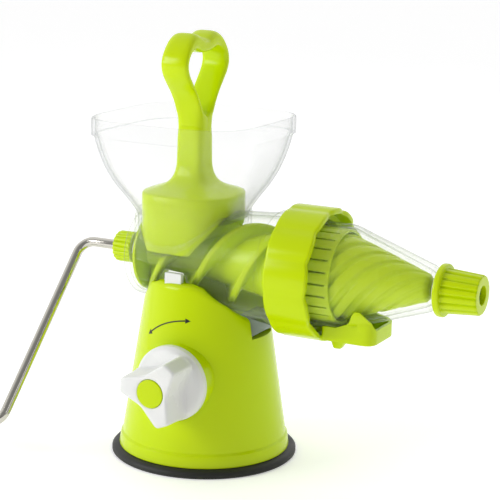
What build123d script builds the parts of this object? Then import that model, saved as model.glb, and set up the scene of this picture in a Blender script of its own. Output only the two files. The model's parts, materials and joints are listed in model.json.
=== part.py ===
from build123d import *
import math
import os

os.makedirs("parts", exist_ok=True)

# Hand-cranked single-auger juicer on a suction base.
# Millimetres. Origin: on the table, at the middle of the round base.
# +X runs along the barrel towards the pulp outlet, -Y is the knob side, +Z is up.

# ---------------------------------------------------------------- driving sizes
axle_height = 139.0          # barrel and auger axis above the table
running_gap = 0.05           # radial play of a shaft in its bore
loose_gap = 0.4              # play between parts that slide or lift apart
wall = 2.6                   # moulded housing wall
clear_wall = 2.4             # wall of the clear barrel and cone
far = 200.0                  # longer than any piece, for through cuts

pad_radius = 65.0
pad_height = 5.5
pad_web_bottom = 2.2
pad_rim_width = 11.0
pad_boss_radius = 11.0
pad_boss_height = 12.5
stem_foot_radius = 8.0
stem_foot_bottom = 8.8
stem_foot_height = 3.0

skirt_inset = 5.0            # pad's edge in to the skirt
skirt_height = 8.5
skirt_step = 2.8
base_drop = 11.0             # axle down to the base's upper edge
base_top_round = 8.0
roof_thickness = 3.5
saddle_start_x = 5.0
saddle_end_x = 50.0
saddle_fall = 20.0

knob_x = 4.0
knob_z = 63.3
knob_boss_radius = 25.0
knob_boss_rise = 1.3
knob_gap = 0.6
knob_disc_radius = 26.0
knob_disc_height = 3.6
knob_shoulder_height = 4.0
knob_shoulder_radius = 22.5
knob_height = 31.6
knob_tip_radius = 24.0
knob_tip_half_angle = 12.0
knob_notch_radius = 14.0
knob_first_lobe = 55.0
knob_lobes = 3
knob_edge_round = 1.2
cap_disc_radius = 9.7
cap_disc_height = 2.8
cap_disc_rise = 0.5
knob_screw_radius = 2.0
knob_screw_head = 4.0
knob_screw_head_height = 2.6
knob_screw_length = 18.0
cam_shaft_radius = 5.0
bush_wall = 2.5
cam_radius = 9.0
cam_throw = 3.5
cam_half_width = 6.0
rear_journal_radius = 4.0
post_near = 12.0
post_width = 5.0

plate_bottom = 18.0
plate_thickness = 2.5
stem_radius = 5.5
yoke_half_depth = 4.0
yoke_rim = 4.5
cam_lift_play = 0.9
screw_count = 3
screw_radius = 1.6
screw_head_radius = 3.2
screw_head_height = 1.7
screw_length = 14.0
boss_radius = 4.5
boss_height = 45.0

barrel_rear_x = -50.0
barrel_length = 106.0
barrel_rear_radius = 31.0
barrel_flare = 6.5           # how much wider the barrel is at its front
barrel_rear_wall = 3.5
barrel_end_round = 2.5
barrel_boss_length = 5.0
flange_reach = 1.8
flange_length = 6.0
thread_reach = 0.8
thread_length = 16.0

neck_x = -11.0
neck_overhang = 1.8          # neck's half width beyond the barrel's radius there
neck_bow = 0.6
neck_corner = 27.0
neck_wall = 1.8
collar_wall = 2.2
collar_reach = 4.9
seat_rise = 2.3
collar_drop = 1.5
opening_floor = 6.0

lug_half = 14.0
lug_drop = 11.5              # barrel's underside down to the lug's toe
lug_length = 24.0
lug_toe_length = 8.0
lug_overrun = 1.0

latch_x = -5.6
latch_width = 12.4
latch_depth = 3.6
latch_rise = 6.6
latch_length = 18.6
latch_travel = 3.0
spring_turns = 6
spring_radius = 1.7
spring_wire = 0.35
spring_length = 13.0

shaft_radius = 6.5
shaft_behind = 19.0          # shaft's end behind the barrel
shaft_reach = 32.0           # shaft's other end inside the barrel
bush_thickness = 2.65
barrel_boss_wall = 3.85
seal_radius = 14.0
seal_thickness = 2.4
seal_gap = 0.2
auger_disc_inset = 0.7
auger_disc_thickness = 2.2
auger_core_rear = 11.0
auger_core_front = 25.0
auger_drum_gap = 1.0
auger_tip_radius = 8.5
flight_thickness = 5.0
flight_lead = 96.0
flight_count = 3
flight_runout = 3.0

nut_wall = 4.4
nut_gap = 2.0
nut_end_wall = 2.0
nut_ribs = 18
nut_rib_radius = 1.2

rod_radius = 3.5
rod_reach = 30.8             # crank's bend behind the nut
rod_bend = 11.0
arm_length = 147.0
arm_drop_angle = 50.5
arm_splay = 3.0
grip_length = 82.0
grip_start = 13.0
grip_radius = 11.5
grip_end_radius = 9.5
grip_cap_length = 5.0

screen_play = 1.8
screen_wall = 1.6
screen_lead = 4.0            # screen's toothed edge ahead of the barrel's front
screen_flange_length = 2.4
screen_slots = 24
screen_slot_width = 1.2
screen_slot_margin = 2.4
screen_teeth = 36
screen_tooth_depth = 1.8

gasket_thickness = 2.0
cone_flange_reach = 2.1
cone_flange_thickness = 4.0
cone_step = 1.7
cone_body_length = 27.4
cone_taper_length = 60.6
cone_spigot_radius = 11.0
cone_spigot_length = 22.0
cone_spigot_wall = 2.2
cone_end_step = 4.4

ring_behind = 9.0            # ring's rear edge ahead of the barrel's flange face
ring_length = 31.6
ring_lobes = 12
ring_reach = 7.7
ring_lobe_radius = 23.2
ring_thread_gap = 0.3
ring_lip_length = 3.2
ring_mouth_reach = 2.8
ring_edge_chamfer = 2.0

cap_standoff = 4.6
cap_flange_step = 2.7
cap_flange_length = 4.6
cap_length = 28.9
cap_wall = 3.9
cap_facets = 16
cap_taper = 3.4
cap_hole_inset = 4.6
cap_end_wall = 4.0
cap_seal_wire = 0.9

spout_start = 17.4           # cone's flange to the spout's rear
spout_length = 37.1
spout_half = 19.5
spout_drop = 4.6             # cone's underside down to the spout's
spout_wall = 2.2
spout_height = 13.8
spout_ear_rise = 10.6
spout_ear_behind = 6.5
spout_corner = 9.0
spout_gap = 0.35
spout_tip_drop = 9.4

bowl_rise = 29.0             # axle up to the bowl's foot
bowl_height = 69.0
rim_band = 12.0
rim_overhang = 24.8
rim_bow = 7.5
rim_corner = 10.0
bowl_wall = 2.0

foot_gap = 0.4
foot_rise = 17.0
foot_bottom_gap = 0.6
plunger_stem_half = 10.0
plunger_stem_corner = 3.0
plunger_stem_length = 53.0

# ------------------------------------------------------------- derived places
barrel_front_x = barrel_rear_x + barrel_length
barrel_front_radius = barrel_rear_radius + barrel_flare
barrel_slope = barrel_flare / barrel_length


def barrel_radius(x):
    """Outside radius of the tapered barrel at a place along its axis."""
    return barrel_rear_radius + (x - barrel_rear_x) * barrel_slope


barrel_axis = Axis((0, 0, axle_height), (1, 0, 0))
side_plane = Plane(origin=(0, 0, axle_height), x_dir=(1, 0, 0), z_dir=(0, -1, 0))
flange_radius = barrel_front_radius + flange_reach
thread_radius = barrel_front_radius + thread_reach
bush_radius = shaft_radius + bush_thickness
barrel_boss_radius = bush_radius + barrel_boss_wall
barrel_end_x = barrel_front_x + flange_length + thread_length
gasket_x = barrel_end_x
cone_flange_x = gasket_x + gasket_thickness
cone_flange_radius = barrel_front_radius + cone_flange_reach
cone_radius = barrel_front_radius - cone_step
cone_taper_x = cone_flange_x + cone_body_length
cone_end_x = cone_taper_x + cone_taper_length
cone_end_radius = cone_spigot_radius + cone_end_step
neck_half = barrel_radius(neck_x) + neck_overhang
collar_half = neck_half + loose_gap / 2 + collar_wall

base_top_z = axle_height - base_drop
latch_y = -(barrel_radius(latch_x + latch_width / 2) + latch_depth / 2 + loose_gap / 4)
latch_top = base_top_z + latch_rise
latch_bottom = latch_top - latch_length
spring_bottom = latch_bottom - spring_length
skirt_radius = pad_radius - skirt_inset
pad_rim_inner = pad_radius - pad_rim_width
cone_foot_radius = skirt_radius - skirt_step
cone_foot_z = pad_height + skirt_height + 3.0
cone_top_radius = latch_depth / 2 + wall - latch_y
hollow_top_z = min(axle_height - barrel_front_radius - roof_thickness, spring_bottom - wall)


def base_radius(z):
    """Outside radius of the base cone at a height."""
    share = (z - cone_foot_z) / (base_top_z - cone_foot_z)
    return cone_foot_radius + share * (cone_top_radius - cone_foot_radius)


knob_boss_face = base_radius(knob_z) + knob_boss_rise
knob_plane = Plane(origin=(knob_x, -knob_boss_face, knob_z), x_dir=(1, 0, 0), z_dir=(0, -1, 0))
plate_top = plate_bottom + plate_thickness
plate_radius = base_radius(plate_top) - wall - loose_gap / 2
screw_circle = base_radius(plate_top + boss_height) - boss_radius - loose_gap
stem_foot_top = stem_foot_bottom + stem_foot_height

lug_depth = barrel_front_radius + lug_drop
lug_front_x = barrel_front_x + lug_overrun
lug_rear_x = lug_front_x - lug_length
lug_toe_x = lug_rear_x + lug_toe_length

shaft_rear_x = barrel_rear_x - shaft_behind
shaft_front_x = barrel_rear_x + shaft_reach
auger_rear_x = barrel_rear_x + barrel_rear_wall + seal_thickness + seal_gap
auger_shoulder_x = barrel_front_x + flange_length
auger_drum_x = cone_flange_x + 18
auger_tip_x = cone_end_x - 4
flight_radius = barrel_rear_radius - clear_wall - loose_gap
flight_start_x = auger_rear_x + auger_disc_thickness + 0.7
flight_length = auger_shoulder_x - flight_start_x - flight_runout
auger_disc_radius = flight_radius - auger_disc_inset
screen_rear_x = barrel_front_x + screen_lead
screen_front_x = cone_taper_x - 1
screen_radius = cone_radius - clear_wall - screen_play
auger_drum_radius = screen_radius - screen_wall - auger_drum_gap

nut_radius = shaft_radius + nut_wall
nut_rear_x = shaft_rear_x - nut_end_wall
nut_front_x = barrel_rear_x - barrel_boss_length - nut_gap
rod_corner = Vector(nut_rear_x - rod_reach, 0, axle_height)
arm_direction = Vector(
    -math.sin(math.radians(arm_splay)),
    -math.cos(math.radians(arm_splay)) * math.cos(math.radians(arm_drop_angle)),
    -math.cos(math.radians(arm_splay)) * math.sin(math.radians(arm_drop_angle)),
)
rod_far_corner = rod_corner + arm_direction * arm_length
grip_plane = Plane(
    origin=rod_far_corner + Vector(-grip_start, 0, 0), x_dir=(0, 1, 0), z_dir=(-1, 0, 0)
)

ring_rear_x = barrel_front_x + ring_behind
ring_front_x = ring_rear_x + ring_length
ring_lobe_centre = barrel_front_radius + ring_reach - ring_lobe_radius
ring_mouth_radius = barrel_front_radius + ring_mouth_reach
cap_flange_x = cone_end_x + cap_standoff
cap_end_x = cap_flange_x + cap_length
cap_body_radius = cone_spigot_radius + cap_wall
cap_flange_radius = cap_body_radius + cap_flange_step
cap_hole_radius = cone_spigot_radius - cap_hole_inset

spout_rear_x = cone_flange_x + spout_start
spout_front_x = spout_rear_x + spout_length
spout_bottom = axle_height - cone_radius - spout_drop
spout_low_top = spout_bottom + spout_height
spout_ear_top = spout_low_top + spout_ear_rise
spout_ear_x = spout_front_x - spout_ear_behind
spout_tip_bottom = spout_bottom - spout_tip_drop

bowl_foot_z = axle_height + bowl_rise
rim_z = bowl_foot_z + bowl_height
rim_half = neck_half + rim_overhang
foot_top = bowl_foot_z + foot_rise
plunger_neck_z = foot_top + plunger_stem_length


def bowed_square(half, bow, corner):
    """Square with bowed sides and round corners."""
    apex = half - bow
    with BuildSketch() as outline:
        with BuildLine():
            ThreePointArc((-apex, -apex), (0, -half), (apex, -apex))
            ThreePointArc((apex, -apex), (half, 0), (apex, apex))
            ThreePointArc((apex, apex), (0, half), (-apex, apex))
            ThreePointArc((-apex, apex), (-half, 0), (-apex, -apex))
        make_face()
        fillet(outline.vertices(), radius=corner)
    return outline.sketch


def neck_plane(z):
    """Level plane at a height, centred on the feed neck."""
    return Plane(origin=(neck_x, 0, z))


# ------------------------------------------------------------------ suction pad
with BuildPart() as suction_pad:
    with BuildSketch(Plane.XZ):
        with BuildLine():
            Polyline(
                (0, pad_web_bottom),
                (pad_rim_inner, pad_web_bottom),
                (pad_rim_inner + 3, 0),
                (pad_radius - 1, 0),
                (pad_radius, 1),
                (pad_radius, pad_height - 2.3),
                (pad_radius - 1.4, pad_height - 0.8),
                (skirt_radius + 1, pad_height),
                (pad_boss_radius, pad_height),
                (pad_boss_radius, pad_boss_height),
                (stem_foot_radius + running_gap, pad_boss_height),
                (stem_foot_radius + running_gap, stem_foot_bottom),
                (0, stem_foot_bottom),
                close=True,
            )
        make_face()
    revolve(axis=Axis.Z)
suction_pad.part.label = "suction_pad"
export_step(suction_pad.part, "parts/suction_pad.step")

# ----------------------------------------------------------------- base housing
with BuildPart() as base_housing:
    with BuildSketch(Plane.XZ):
        with BuildLine():
            Polyline(
                (0, hollow_top_z),
                (base_radius(hollow_top_z) - wall, hollow_top_z),
                (cone_foot_radius - wall, cone_foot_z),
                (skirt_radius - wall, pad_height),
                (skirt_radius, pad_height),
                (skirt_radius - 1.3, pad_height + skirt_height),
                (cone_foot_radius, cone_foot_z),
                (cone_top_radius, base_top_z),
                (0, base_top_z),
                close=True,
            )
        make_face()
    revolve(axis=Axis.Z)
    top_edge = base_housing.edges().filter_by(GeomType.CIRCLE).sort_by(Axis.Z)[-1]
    fillet(top_edge, radius=base_top_round)
    # flat round boss that the knob turns on
    with BuildSketch(knob_plane):
        Circle(knob_boss_radius)
    extrude(amount=-(knob_boss_face - cone_top_radius + 4))
    # round recess that the knob's rim turns in
    with BuildSketch(knob_plane):
        Circle(knob_disc_radius + loose_gap)
    extrude(amount=knob_height, mode=Mode.SUBTRACT)
    # screw bosses for the bottom plate, and their pilot holes
    with BuildSketch(Plane.XY.offset(plate_top)):
        with PolarLocations(screw_circle, screw_count, start_angle=90):
            Circle(boss_radius)
    extrude(amount=boss_height)
    with BuildSketch(Plane.XY.offset(plate_top)):
        with PolarLocations(screw_circle, screw_count, start_angle=90):
            Circle(screw_radius + running_gap)
    extrude(amount=screw_length, mode=Mode.SUBTRACT)
    # bore for the knob shaft's bush
    with BuildSketch(knob_plane):
        Circle(cam_shaft_radius + bush_wall + running_gap)
    extrude(amount=-far / 8, mode=Mode.SUBTRACT)
    # saddle under the barrel
    with BuildSketch(side_plane):
        with BuildLine():
            Polyline(
                (-far / 2, 0),
                (-far / 2, barrel_radius(-far / 2) + loose_gap),
                (far / 2, barrel_radius(far / 2) + loose_gap),
                (far / 2, 0),
                close=True,
            )
        make_face()
    revolve(axis=barrel_axis, mode=Mode.SUBTRACT)
    # top edge that falls in an S towards the outlet side
    with BuildSketch(Plane.XZ):
        with BuildLine():
            Bezier(
                (saddle_start_x, base_top_z),
                (saddle_start_x + 0.85 * saddle_fall, base_top_z),
                (saddle_start_x + 1.05 * saddle_fall, base_top_z - 0.7 * saddle_fall),
                (saddle_end_x, base_top_z - saddle_fall),
            )
            Polyline(
                (saddle_end_x, base_top_z - saddle_fall),
                (far / 2, base_top_z - saddle_fall),
                (far / 2, axle_height),
                (saddle_start_x, axle_height),
                (saddle_start_x, base_top_z),
            )
        make_face()
    extrude(amount=far / 2, both=True, mode=Mode.SUBTRACT)
    # slot for the barrel's lug
    with BuildSketch(Plane.XY.offset(axle_height - lug_depth - loose_gap)):
        with Locations((lug_rear_x - loose_gap, 0)):
            Rectangle(
                far / 2, 2 * (lug_half + loose_gap), align=(Align.MIN, Align.CENTER)
            )
    extrude(amount=lug_depth, mode=Mode.SUBTRACT)
    # pocket for the latch and the bore for its spring
    with BuildSketch(Plane.XY.offset(latch_bottom - latch_travel - loose_gap)):
        with Locations((latch_x, latch_y)):
            Rectangle(latch_width + 2 * loose_gap, latch_depth + 2 * loose_gap)
    extrude(amount=far / 4, mode=Mode.SUBTRACT)
    with BuildSketch(Plane.XY.offset(spring_bottom)):
        with Locations((latch_x, latch_y)):
            Circle(spring_radius + spring_wire + loose_gap / 2)
    extrude(amount=far / 8, mode=Mode.SUBTRACT)
base_housing.part.label = "base_housing"
export_step(base_housing.part, "parts/base_housing.step")

# ----------------------------------------------------------------- bottom plate
with BuildPart() as bottom_plate:
    with BuildSketch(Plane.XY.offset(plate_bottom)):
        Circle(plate_radius)
        Circle(stem_radius + running_gap, mode=Mode.SUBTRACT)
        with PolarLocations(screw_circle, screw_count, start_angle=90):
            Circle(screw_radius + running_gap, mode=Mode.SUBTRACT)
    extrude(amount=plate_thickness)
    # post that carries the far end of the cam shaft
    with BuildSketch(Plane.XZ.offset(-post_near)):
        with Locations((knob_x, plate_top)):
            Rectangle(
                2 * (rear_journal_radius + yoke_rim),
                knob_z - plate_top + rear_journal_radius + yoke_rim,
                align=(Align.CENTER, Align.MIN),
            )
        with Locations((knob_x, knob_z)):
            Circle(rear_journal_radius + running_gap, mode=Mode.SUBTRACT)
    extrude(amount=-post_width)
bottom_plate.part.label = "bottom_plate"
export_step(bottom_plate.part, "parts/bottom_plate.step")

with BuildPart() as plate_screws:
    with BuildSketch(Plane.XY.offset(plate_bottom - screw_head_height)):
        with PolarLocations(screw_circle, screw_count, start_angle=90):
            Circle(screw_head_radius)
    extrude(amount=screw_head_height)
    with BuildSketch(Plane.XY.offset(plate_bottom)):
        with PolarLocations(screw_circle, screw_count, start_angle=90):
            Circle(screw_radius)
    extrude(amount=screw_length)
plate_screws.part.label = "plate_screws"
export_step(plate_screws.part, "parts/plate_screws.step")

# ------------------------------------------------- suction lift: stem, cam, knob
slot_low_x = knob_x - cam_throw - cam_radius - loose_gap
slot_high_x = knob_x + cam_radius + loose_gap
slot_middle = (slot_low_x + slot_high_x) / 2
slot_width = slot_high_x - slot_low_x
slot_height = 2 * (cam_radius + cam_lift_play)

with BuildPart() as lift_stem:
    with BuildSketch(Plane.XY.offset(stem_foot_bottom)):
        Circle(stem_foot_radius)
    extrude(amount=stem_foot_height)
    with BuildSketch(Plane.XY.offset(stem_foot_top)):
        Circle(stem_radius)
    extrude(amount=knob_z - slot_height / 2 - stem_foot_top - yoke_rim / 2)
    with BuildSketch(Plane.XZ):
        with Locations((slot_middle, knob_z)):
            RectangleRounded(slot_width + 2 * yoke_rim, slot_height + 2 * yoke_rim, yoke_rim)
            Rectangle(slot_width, slot_height, mode=Mode.SUBTRACT)
    extrude(amount=yoke_half_depth, both=True)
lift_stem.part.label = "lift_stem"
export_step(lift_stem.part, "parts/lift_stem.step")

knob_back = knob_boss_face + knob_gap
knob_face = knob_back + knob_height
shaft_end = knob_face - cap_disc_height - knob_screw_head_height - wall
with BuildPart() as cam_shaft:
    with BuildSketch(Plane.XZ.offset(cam_half_width)):
        with Locations((knob_x, knob_z)):
            Circle(cam_shaft_radius)
    extrude(amount=shaft_end - cam_half_width)
    with BuildSketch(Plane.XZ):
        with Locations((knob_x - cam_throw, knob_z)):
            Circle(cam_radius)
    extrude(amount=cam_half_width, both=True)
    with BuildSketch(Plane.XZ.offset(-cam_half_width)):
        with Locations((knob_x, knob_z)):
            Circle(rear_journal_radius)
    extrude(amount=-(post_near + post_width - cam_half_width))
    with BuildSketch(Plane.XZ.offset(shaft_end)):
        with Locations((knob_x, knob_z)):
            Circle(knob_screw_radius + running_gap)
    extrude(amount=-knob_screw_length, mode=Mode.SUBTRACT)
cam_shaft.part.label = "cam_shaft"
export_step(cam_shaft.part, "parts/cam_shaft.step")

with BuildPart() as shaft_bush:
    with BuildSketch(knob_plane):
        Circle(cam_shaft_radius + bush_wall)
        Circle(cam_shaft_radius + running_gap, mode=Mode.SUBTRACT)
    extrude(amount=-(knob_boss_face - cone_top_radius + 4))
shaft_bush.part.label = "shaft_bush"
export_step(shaft_bush.part, "parts/shaft_bush.step")


def knob_point(radius, angle):
    """Point on the knob's face, from its axis."""
    return (radius * math.cos(math.radians(angle)), radius * math.sin(math.radians(angle)))


with BuildPart() as knob:
    with BuildSketch(knob_plane.offset(knob_gap)):
        Circle(knob_disc_radius)
    extrude(amount=knob_disc_height)
    with BuildSketch(knob_plane.offset(knob_gap + knob_disc_height)):
        Circle(knob_disc_radius)
    with BuildSketch(knob_plane.offset(knob_gap + knob_disc_height + knob_shoulder_height)):
        Circle(knob_shoulder_radius)
    loft()
    with BuildSketch(knob_plane.offset(knob_gap + knob_disc_height)):
        with BuildLine():
            for lobe in range(knob_lobes):
                middle = knob_first_lobe + lobe * 360 / knob_lobes
                following = middle + 360 / knob_lobes
                tip_end = knob_point(knob_tip_radius, middle + knob_tip_half_angle)
                Line(knob_point(knob_tip_radius, middle - knob_tip_half_angle), tip_end)
                ThreePointArc(
                    tip_end,
                    knob_point(knob_notch_radius, (middle + following) / 2),
                    knob_point(knob_tip_radius, following - knob_tip_half_angle),
                )
        lobes_face = make_face()
        fillet(lobes_face.vertices(), radius=2.5)
    extrude(amount=knob_height - knob_disc_height)
    face_edges = knob.faces().sort_by(Axis.Y)[0].edges()
    fillet(face_edges, radius=knob_edge_round)
    with BuildSketch(Plane.XZ.offset(knob_face)):
        with Locations((knob_x, knob_z)):
            Circle(cap_disc_radius + running_gap)
    extrude(amount=-cap_disc_height, mode=Mode.SUBTRACT)
    with BuildSketch(Plane.XZ.offset(knob_face - cap_disc_height)):
        with Locations((knob_x, knob_z)):
            Circle(knob_screw_head + loose_gap)
    extrude(amount=-knob_screw_head_height, mode=Mode.SUBTRACT)
    with BuildSketch(Plane.XZ.offset(knob_face)):
        with Locations((knob_x, knob_z)):
            Circle(knob_screw_radius + running_gap)
    extrude(amount=-far / 4, mode=Mode.SUBTRACT)
    with BuildSketch(Plane.XZ.offset(shaft_end)):
        with Locations((knob_x, knob_z)):
            Circle(cam_shaft_radius + running_gap)
    extrude(amount=-far / 4, mode=Mode.SUBTRACT)
knob.part.label = "knob"
export_step(knob.part, "parts/knob.step")

with BuildPart() as knob_cap:
    with BuildSketch(Plane.XZ.offset(knob_face - cap_disc_height)):
        with Locations((knob_x, knob_z)):
            Circle(cap_disc_radius)
    extrude(amount=cap_disc_height + cap_disc_rise)
    fillet(knob_cap.faces().sort_by(Axis.Y)[0].edges(), radius=0.6)
knob_cap.part.label = "knob_cap"
export_step(knob_cap.part, "parts/knob_cap.step")

with BuildPart() as knob_screw:
    with BuildSketch(Plane.XZ.offset(knob_face - cap_disc_height)):
        with Locations((knob_x, knob_z)):
            Circle(knob_screw_head)
    extrude(amount=-knob_screw_head_height)
    with BuildSketch(Plane.XZ.offset(knob_face - cap_disc_height)):
        with Locations((knob_x, knob_z)):
            Circle(knob_screw_radius)
    extrude(amount=-knob_screw_length)
knob_screw.part.label = "knob_screw"
export_step(knob_screw.part, "parts/knob_screw.step")

# ----------------------------------------------------------------- barrel latch
with BuildPart() as barrel_latch:
    with BuildSketch(Plane.XY.offset(latch_bottom)):
        with Locations((latch_x, latch_y)):
            Rectangle(latch_width, latch_depth)
    extrude(amount=latch_top - latch_bottom)
    fillet(barrel_latch.faces().sort_by(Axis.Z)[-1].edges(), radius=0.6)
barrel_latch.part.label = "barrel_latch"
export_step(barrel_latch.part, "parts/barrel_latch.step")

spring_height = latch_bottom - spring_bottom - 2 * spring_wire
with BuildPart() as latch_spring:
    with BuildLine(Plane(origin=(latch_x, latch_y, spring_bottom + spring_wire))):
        coil = Helix(pitch=spring_height / spring_turns, height=spring_height, radius=spring_radius)
    with BuildSketch(Plane(origin=coil @ 0, z_dir=coil % 0)):
        Circle(spring_wire)
    sweep(path=coil, is_frenet=True)
latch_spring.part.label = "latch_spring"
export_step(latch_spring.part, "parts/latch_spring.step")

# ----------------------------------------------------------------------- barrel
# belt of the feed collar that follows the barrel's round side
with BuildPart() as collar_belt:
    with BuildSketch(neck_plane(axle_height - collar_drop)):
        add(bowed_square(collar_half, neck_bow, neck_corner + collar_wall))
    extrude(amount=bowl_foot_z - loose_gap - axle_height + collar_drop)
    with BuildSketch(side_plane):
        with BuildLine():
            Polyline(
                (-far / 2, 0),
                (-far / 2, barrel_radius(-far / 2) + collar_reach),
                (far / 2, barrel_radius(far / 2) + collar_reach),
                (far / 2, 0),
                close=True,
            )
        make_face()
    revolve(axis=barrel_axis, mode=Mode.INTERSECT)

# room for the hopper's tube above its seat
with BuildPart() as tube_room:
    with BuildSketch(neck_plane(axle_height + opening_floor / 2)):
        add(bowed_square(neck_half + loose_gap / 2, neck_bow, neck_corner))
    extrude(amount=far / 4)
    with BuildSketch(side_plane):
        with BuildLine():
            Polyline(
                (-far / 2, 0),
                (-far / 2, barrel_radius(-far / 2) + seat_rise),
                (far / 2, barrel_radius(far / 2) + seat_rise),
                (far / 2, 0),
                close=True,
            )
        make_face()
    revolve(axis=barrel_axis, mode=Mode.SUBTRACT)

with BuildPart() as barrel:
    with BuildSketch(side_plane):
        with BuildLine():
            Polyline(
                (barrel_rear_x - barrel_boss_length, 0),
                (barrel_rear_x - barrel_boss_length, barrel_boss_radius),
                (barrel_rear_x, barrel_boss_radius),
                (barrel_rear_x, barrel_rear_radius - barrel_end_round),
                (barrel_rear_x + barrel_end_round, barrel_radius(barrel_rear_x + barrel_end_round)),
                (barrel_front_x, barrel_front_radius),
                (barrel_front_x, flange_radius),
                (barrel_front_x + flange_length, flange_radius),
                (barrel_front_x + flange_length, thread_radius),
                (barrel_end_x, thread_radius),
                (barrel_end_x, 0),
                close=True,
            )
        make_face()
    revolve(axis=barrel_axis)
    add(collar_belt.part)
    # lug that drops into the base's slot
    with BuildSketch(Plane.XZ):
        with BuildLine():
            Polyline(
                (lug_rear_x, axle_height - barrel_radius(lug_rear_x) + clear_wall / 2),
                (lug_front_x, axle_height - barrel_front_radius + clear_wall / 2),
                (lug_front_x, axle_height - flange_radius + 0.5),
                (lug_toe_x, axle_height - lug_depth),
                (lug_rear_x, axle_height - lug_depth),
                close=True,
            )
        make_face()
    extrude(amount=lug_half, both=True)
    # bore
    with BuildSketch(side_plane):
        with BuildLine():
            Polyline(
                (barrel_rear_x + barrel_rear_wall, 0),
                (barrel_rear_x + barrel_rear_wall, barrel_rear_radius - clear_wall),
                (barrel_front_x, barrel_front_radius - clear_wall),
                (barrel_end_x, barrel_front_radius - clear_wall),
                (barrel_end_x, 0),
                close=True,
            )
        make_face()
    revolve(axis=barrel_axis, mode=Mode.SUBTRACT)
    with BuildSketch(Plane(origin=(-far / 2, 0, axle_height), z_dir=(1, 0, 0))):
        Circle(bush_radius + running_gap)
    extrude(amount=far / 2, mode=Mode.SUBTRACT)
    # feed opening and the seat of the hopper's tube
    with BuildSketch(neck_plane(axle_height + opening_floor)):
        add(bowed_square(neck_half - neck_wall, neck_bow, neck_corner - neck_wall))
    extrude(amount=far / 4, mode=Mode.SUBTRACT)
    add(tube_room.part, mode=Mode.SUBTRACT)
barrel.part.label = "barrel"
export_step(barrel.part, "parts/barrel.step")

# --------------------------------------------------- shaft, bush, seal and auger
bush_front_x = barrel_rear_x + barrel_rear_wall
with BuildPart() as rear_bush:
    with BuildSketch(Plane(origin=(bush_front_x, 0, axle_height), z_dir=(-1, 0, 0))):
        Circle(bush_radius)
        Circle(shaft_radius + running_gap, mode=Mode.SUBTRACT)
    extrude(amount=barrel_rear_wall + barrel_boss_length)
rear_bush.part.label = "rear_bush"
export_step(rear_bush.part, "parts/rear_bush.step")

with BuildPart() as shaft_seal:
    with BuildSketch(Plane(origin=(bush_front_x, 0, axle_height), z_dir=(1, 0, 0))):
        Circle(seal_radius)
        Circle(shaft_radius + running_gap, mode=Mode.SUBTRACT)
    extrude(amount=seal_thickness)
shaft_seal.part.label = "shaft_seal"
export_step(shaft_seal.part, "parts/shaft_seal.step")

with BuildPart() as auger_drive:
    with BuildSketch(Plane(origin=(shaft_rear_x, 0, axle_height), z_dir=(1, 0, 0))):
        Circle(shaft_radius)
        Circle(rod_radius + running_gap, mode=Mode.SUBTRACT)
    extrude(amount=shaft_front_x - shaft_rear_x)
auger_drive.part.label = "auger_drive"
export_step(auger_drive.part, "parts/auger_drive.step")

# one left-hand screw flight, trimmed to its outside radius
flight_mean = (auger_core_rear + flight_radius) / 2
flight_start = Vector(flight_start_x, 0, axle_height)
with BuildPart() as flight:
    with BuildLine():
        spiral = Helix(
            pitch=flight_lead,
            height=flight_length,
            radius=flight_mean,
            center=flight_start,
            direction=(1, 0, 0),
            lefthand=True,
        )
    with BuildSketch(Plane(origin=spiral @ 0, x_dir=(spiral @ 0) - flight_start, z_dir=spiral % 0)):
        Rectangle(flight_radius - auger_core_rear + 2 * flight_thickness, flight_thickness)
    sweep(path=spiral, is_frenet=True)
    with BuildSketch(Plane(origin=flight_start, z_dir=(1, 0, 0))):
        Circle(flight_radius)
    extrude(amount=auger_shoulder_x - flight_start_x, mode=Mode.INTERSECT)

with BuildPart() as auger:
    with BuildSketch(side_plane):
        with BuildLine():
            Polyline(
                (auger_rear_x, 0),
                (auger_rear_x, auger_disc_radius),
                (auger_rear_x + auger_disc_thickness, auger_disc_radius),
                (auger_rear_x + auger_disc_thickness, auger_core_rear),
                (0, auger_core_rear + 2),
                (auger_shoulder_x, auger_core_front),
                (auger_drum_x, auger_drum_radius - 1.4),
                (auger_tip_x, auger_tip_radius),
                (auger_tip_x + 3, auger_tip_radius / 2),
                (auger_tip_x + 3, 0),
                close=True,
            )
        make_face()
    revolve(axis=barrel_axis)
    for start in range(flight_count):
        add(flight.part.rotate(barrel_axis, 360 * start / flight_count))
    with BuildSketch(Plane(origin=(auger_rear_x, 0, axle_height), z_dir=(1, 0, 0))):
        Circle(shaft_radius + running_gap)
    extrude(amount=shaft_front_x - auger_rear_x + 1, mode=Mode.SUBTRACT)
auger.part.label = "auger"
export_step(auger.part, "parts/auger.step")

# ------------------------------------------------------------------------ crank
with BuildPart() as crank_nut:
    with BuildSketch(Plane(origin=(nut_rear_x, 0, axle_height), z_dir=(1, 0, 0))):
        Circle(nut_radius - nut_rib_radius / 2)
        with PolarLocations(nut_radius - nut_rib_radius, nut_ribs):
            Circle(nut_rib_radius)
    extrude(amount=nut_front_x - nut_rear_x)
    with BuildSketch(Plane(origin=(nut_rear_x, 0, axle_height), z_dir=(1, 0, 0))):
        Circle(rod_radius + running_gap)
    extrude(amount=far / 4, mode=Mode.SUBTRACT)
    with BuildSketch(Plane(origin=(shaft_rear_x, 0, axle_height), z_dir=(1, 0, 0))):
        Circle(shaft_radius + running_gap)
    extrude(amount=far / 4, mode=Mode.SUBTRACT)
crank_nut.part.label = "crank_nut"
export_step(crank_nut.part, "parts/crank_nut.step")

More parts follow.
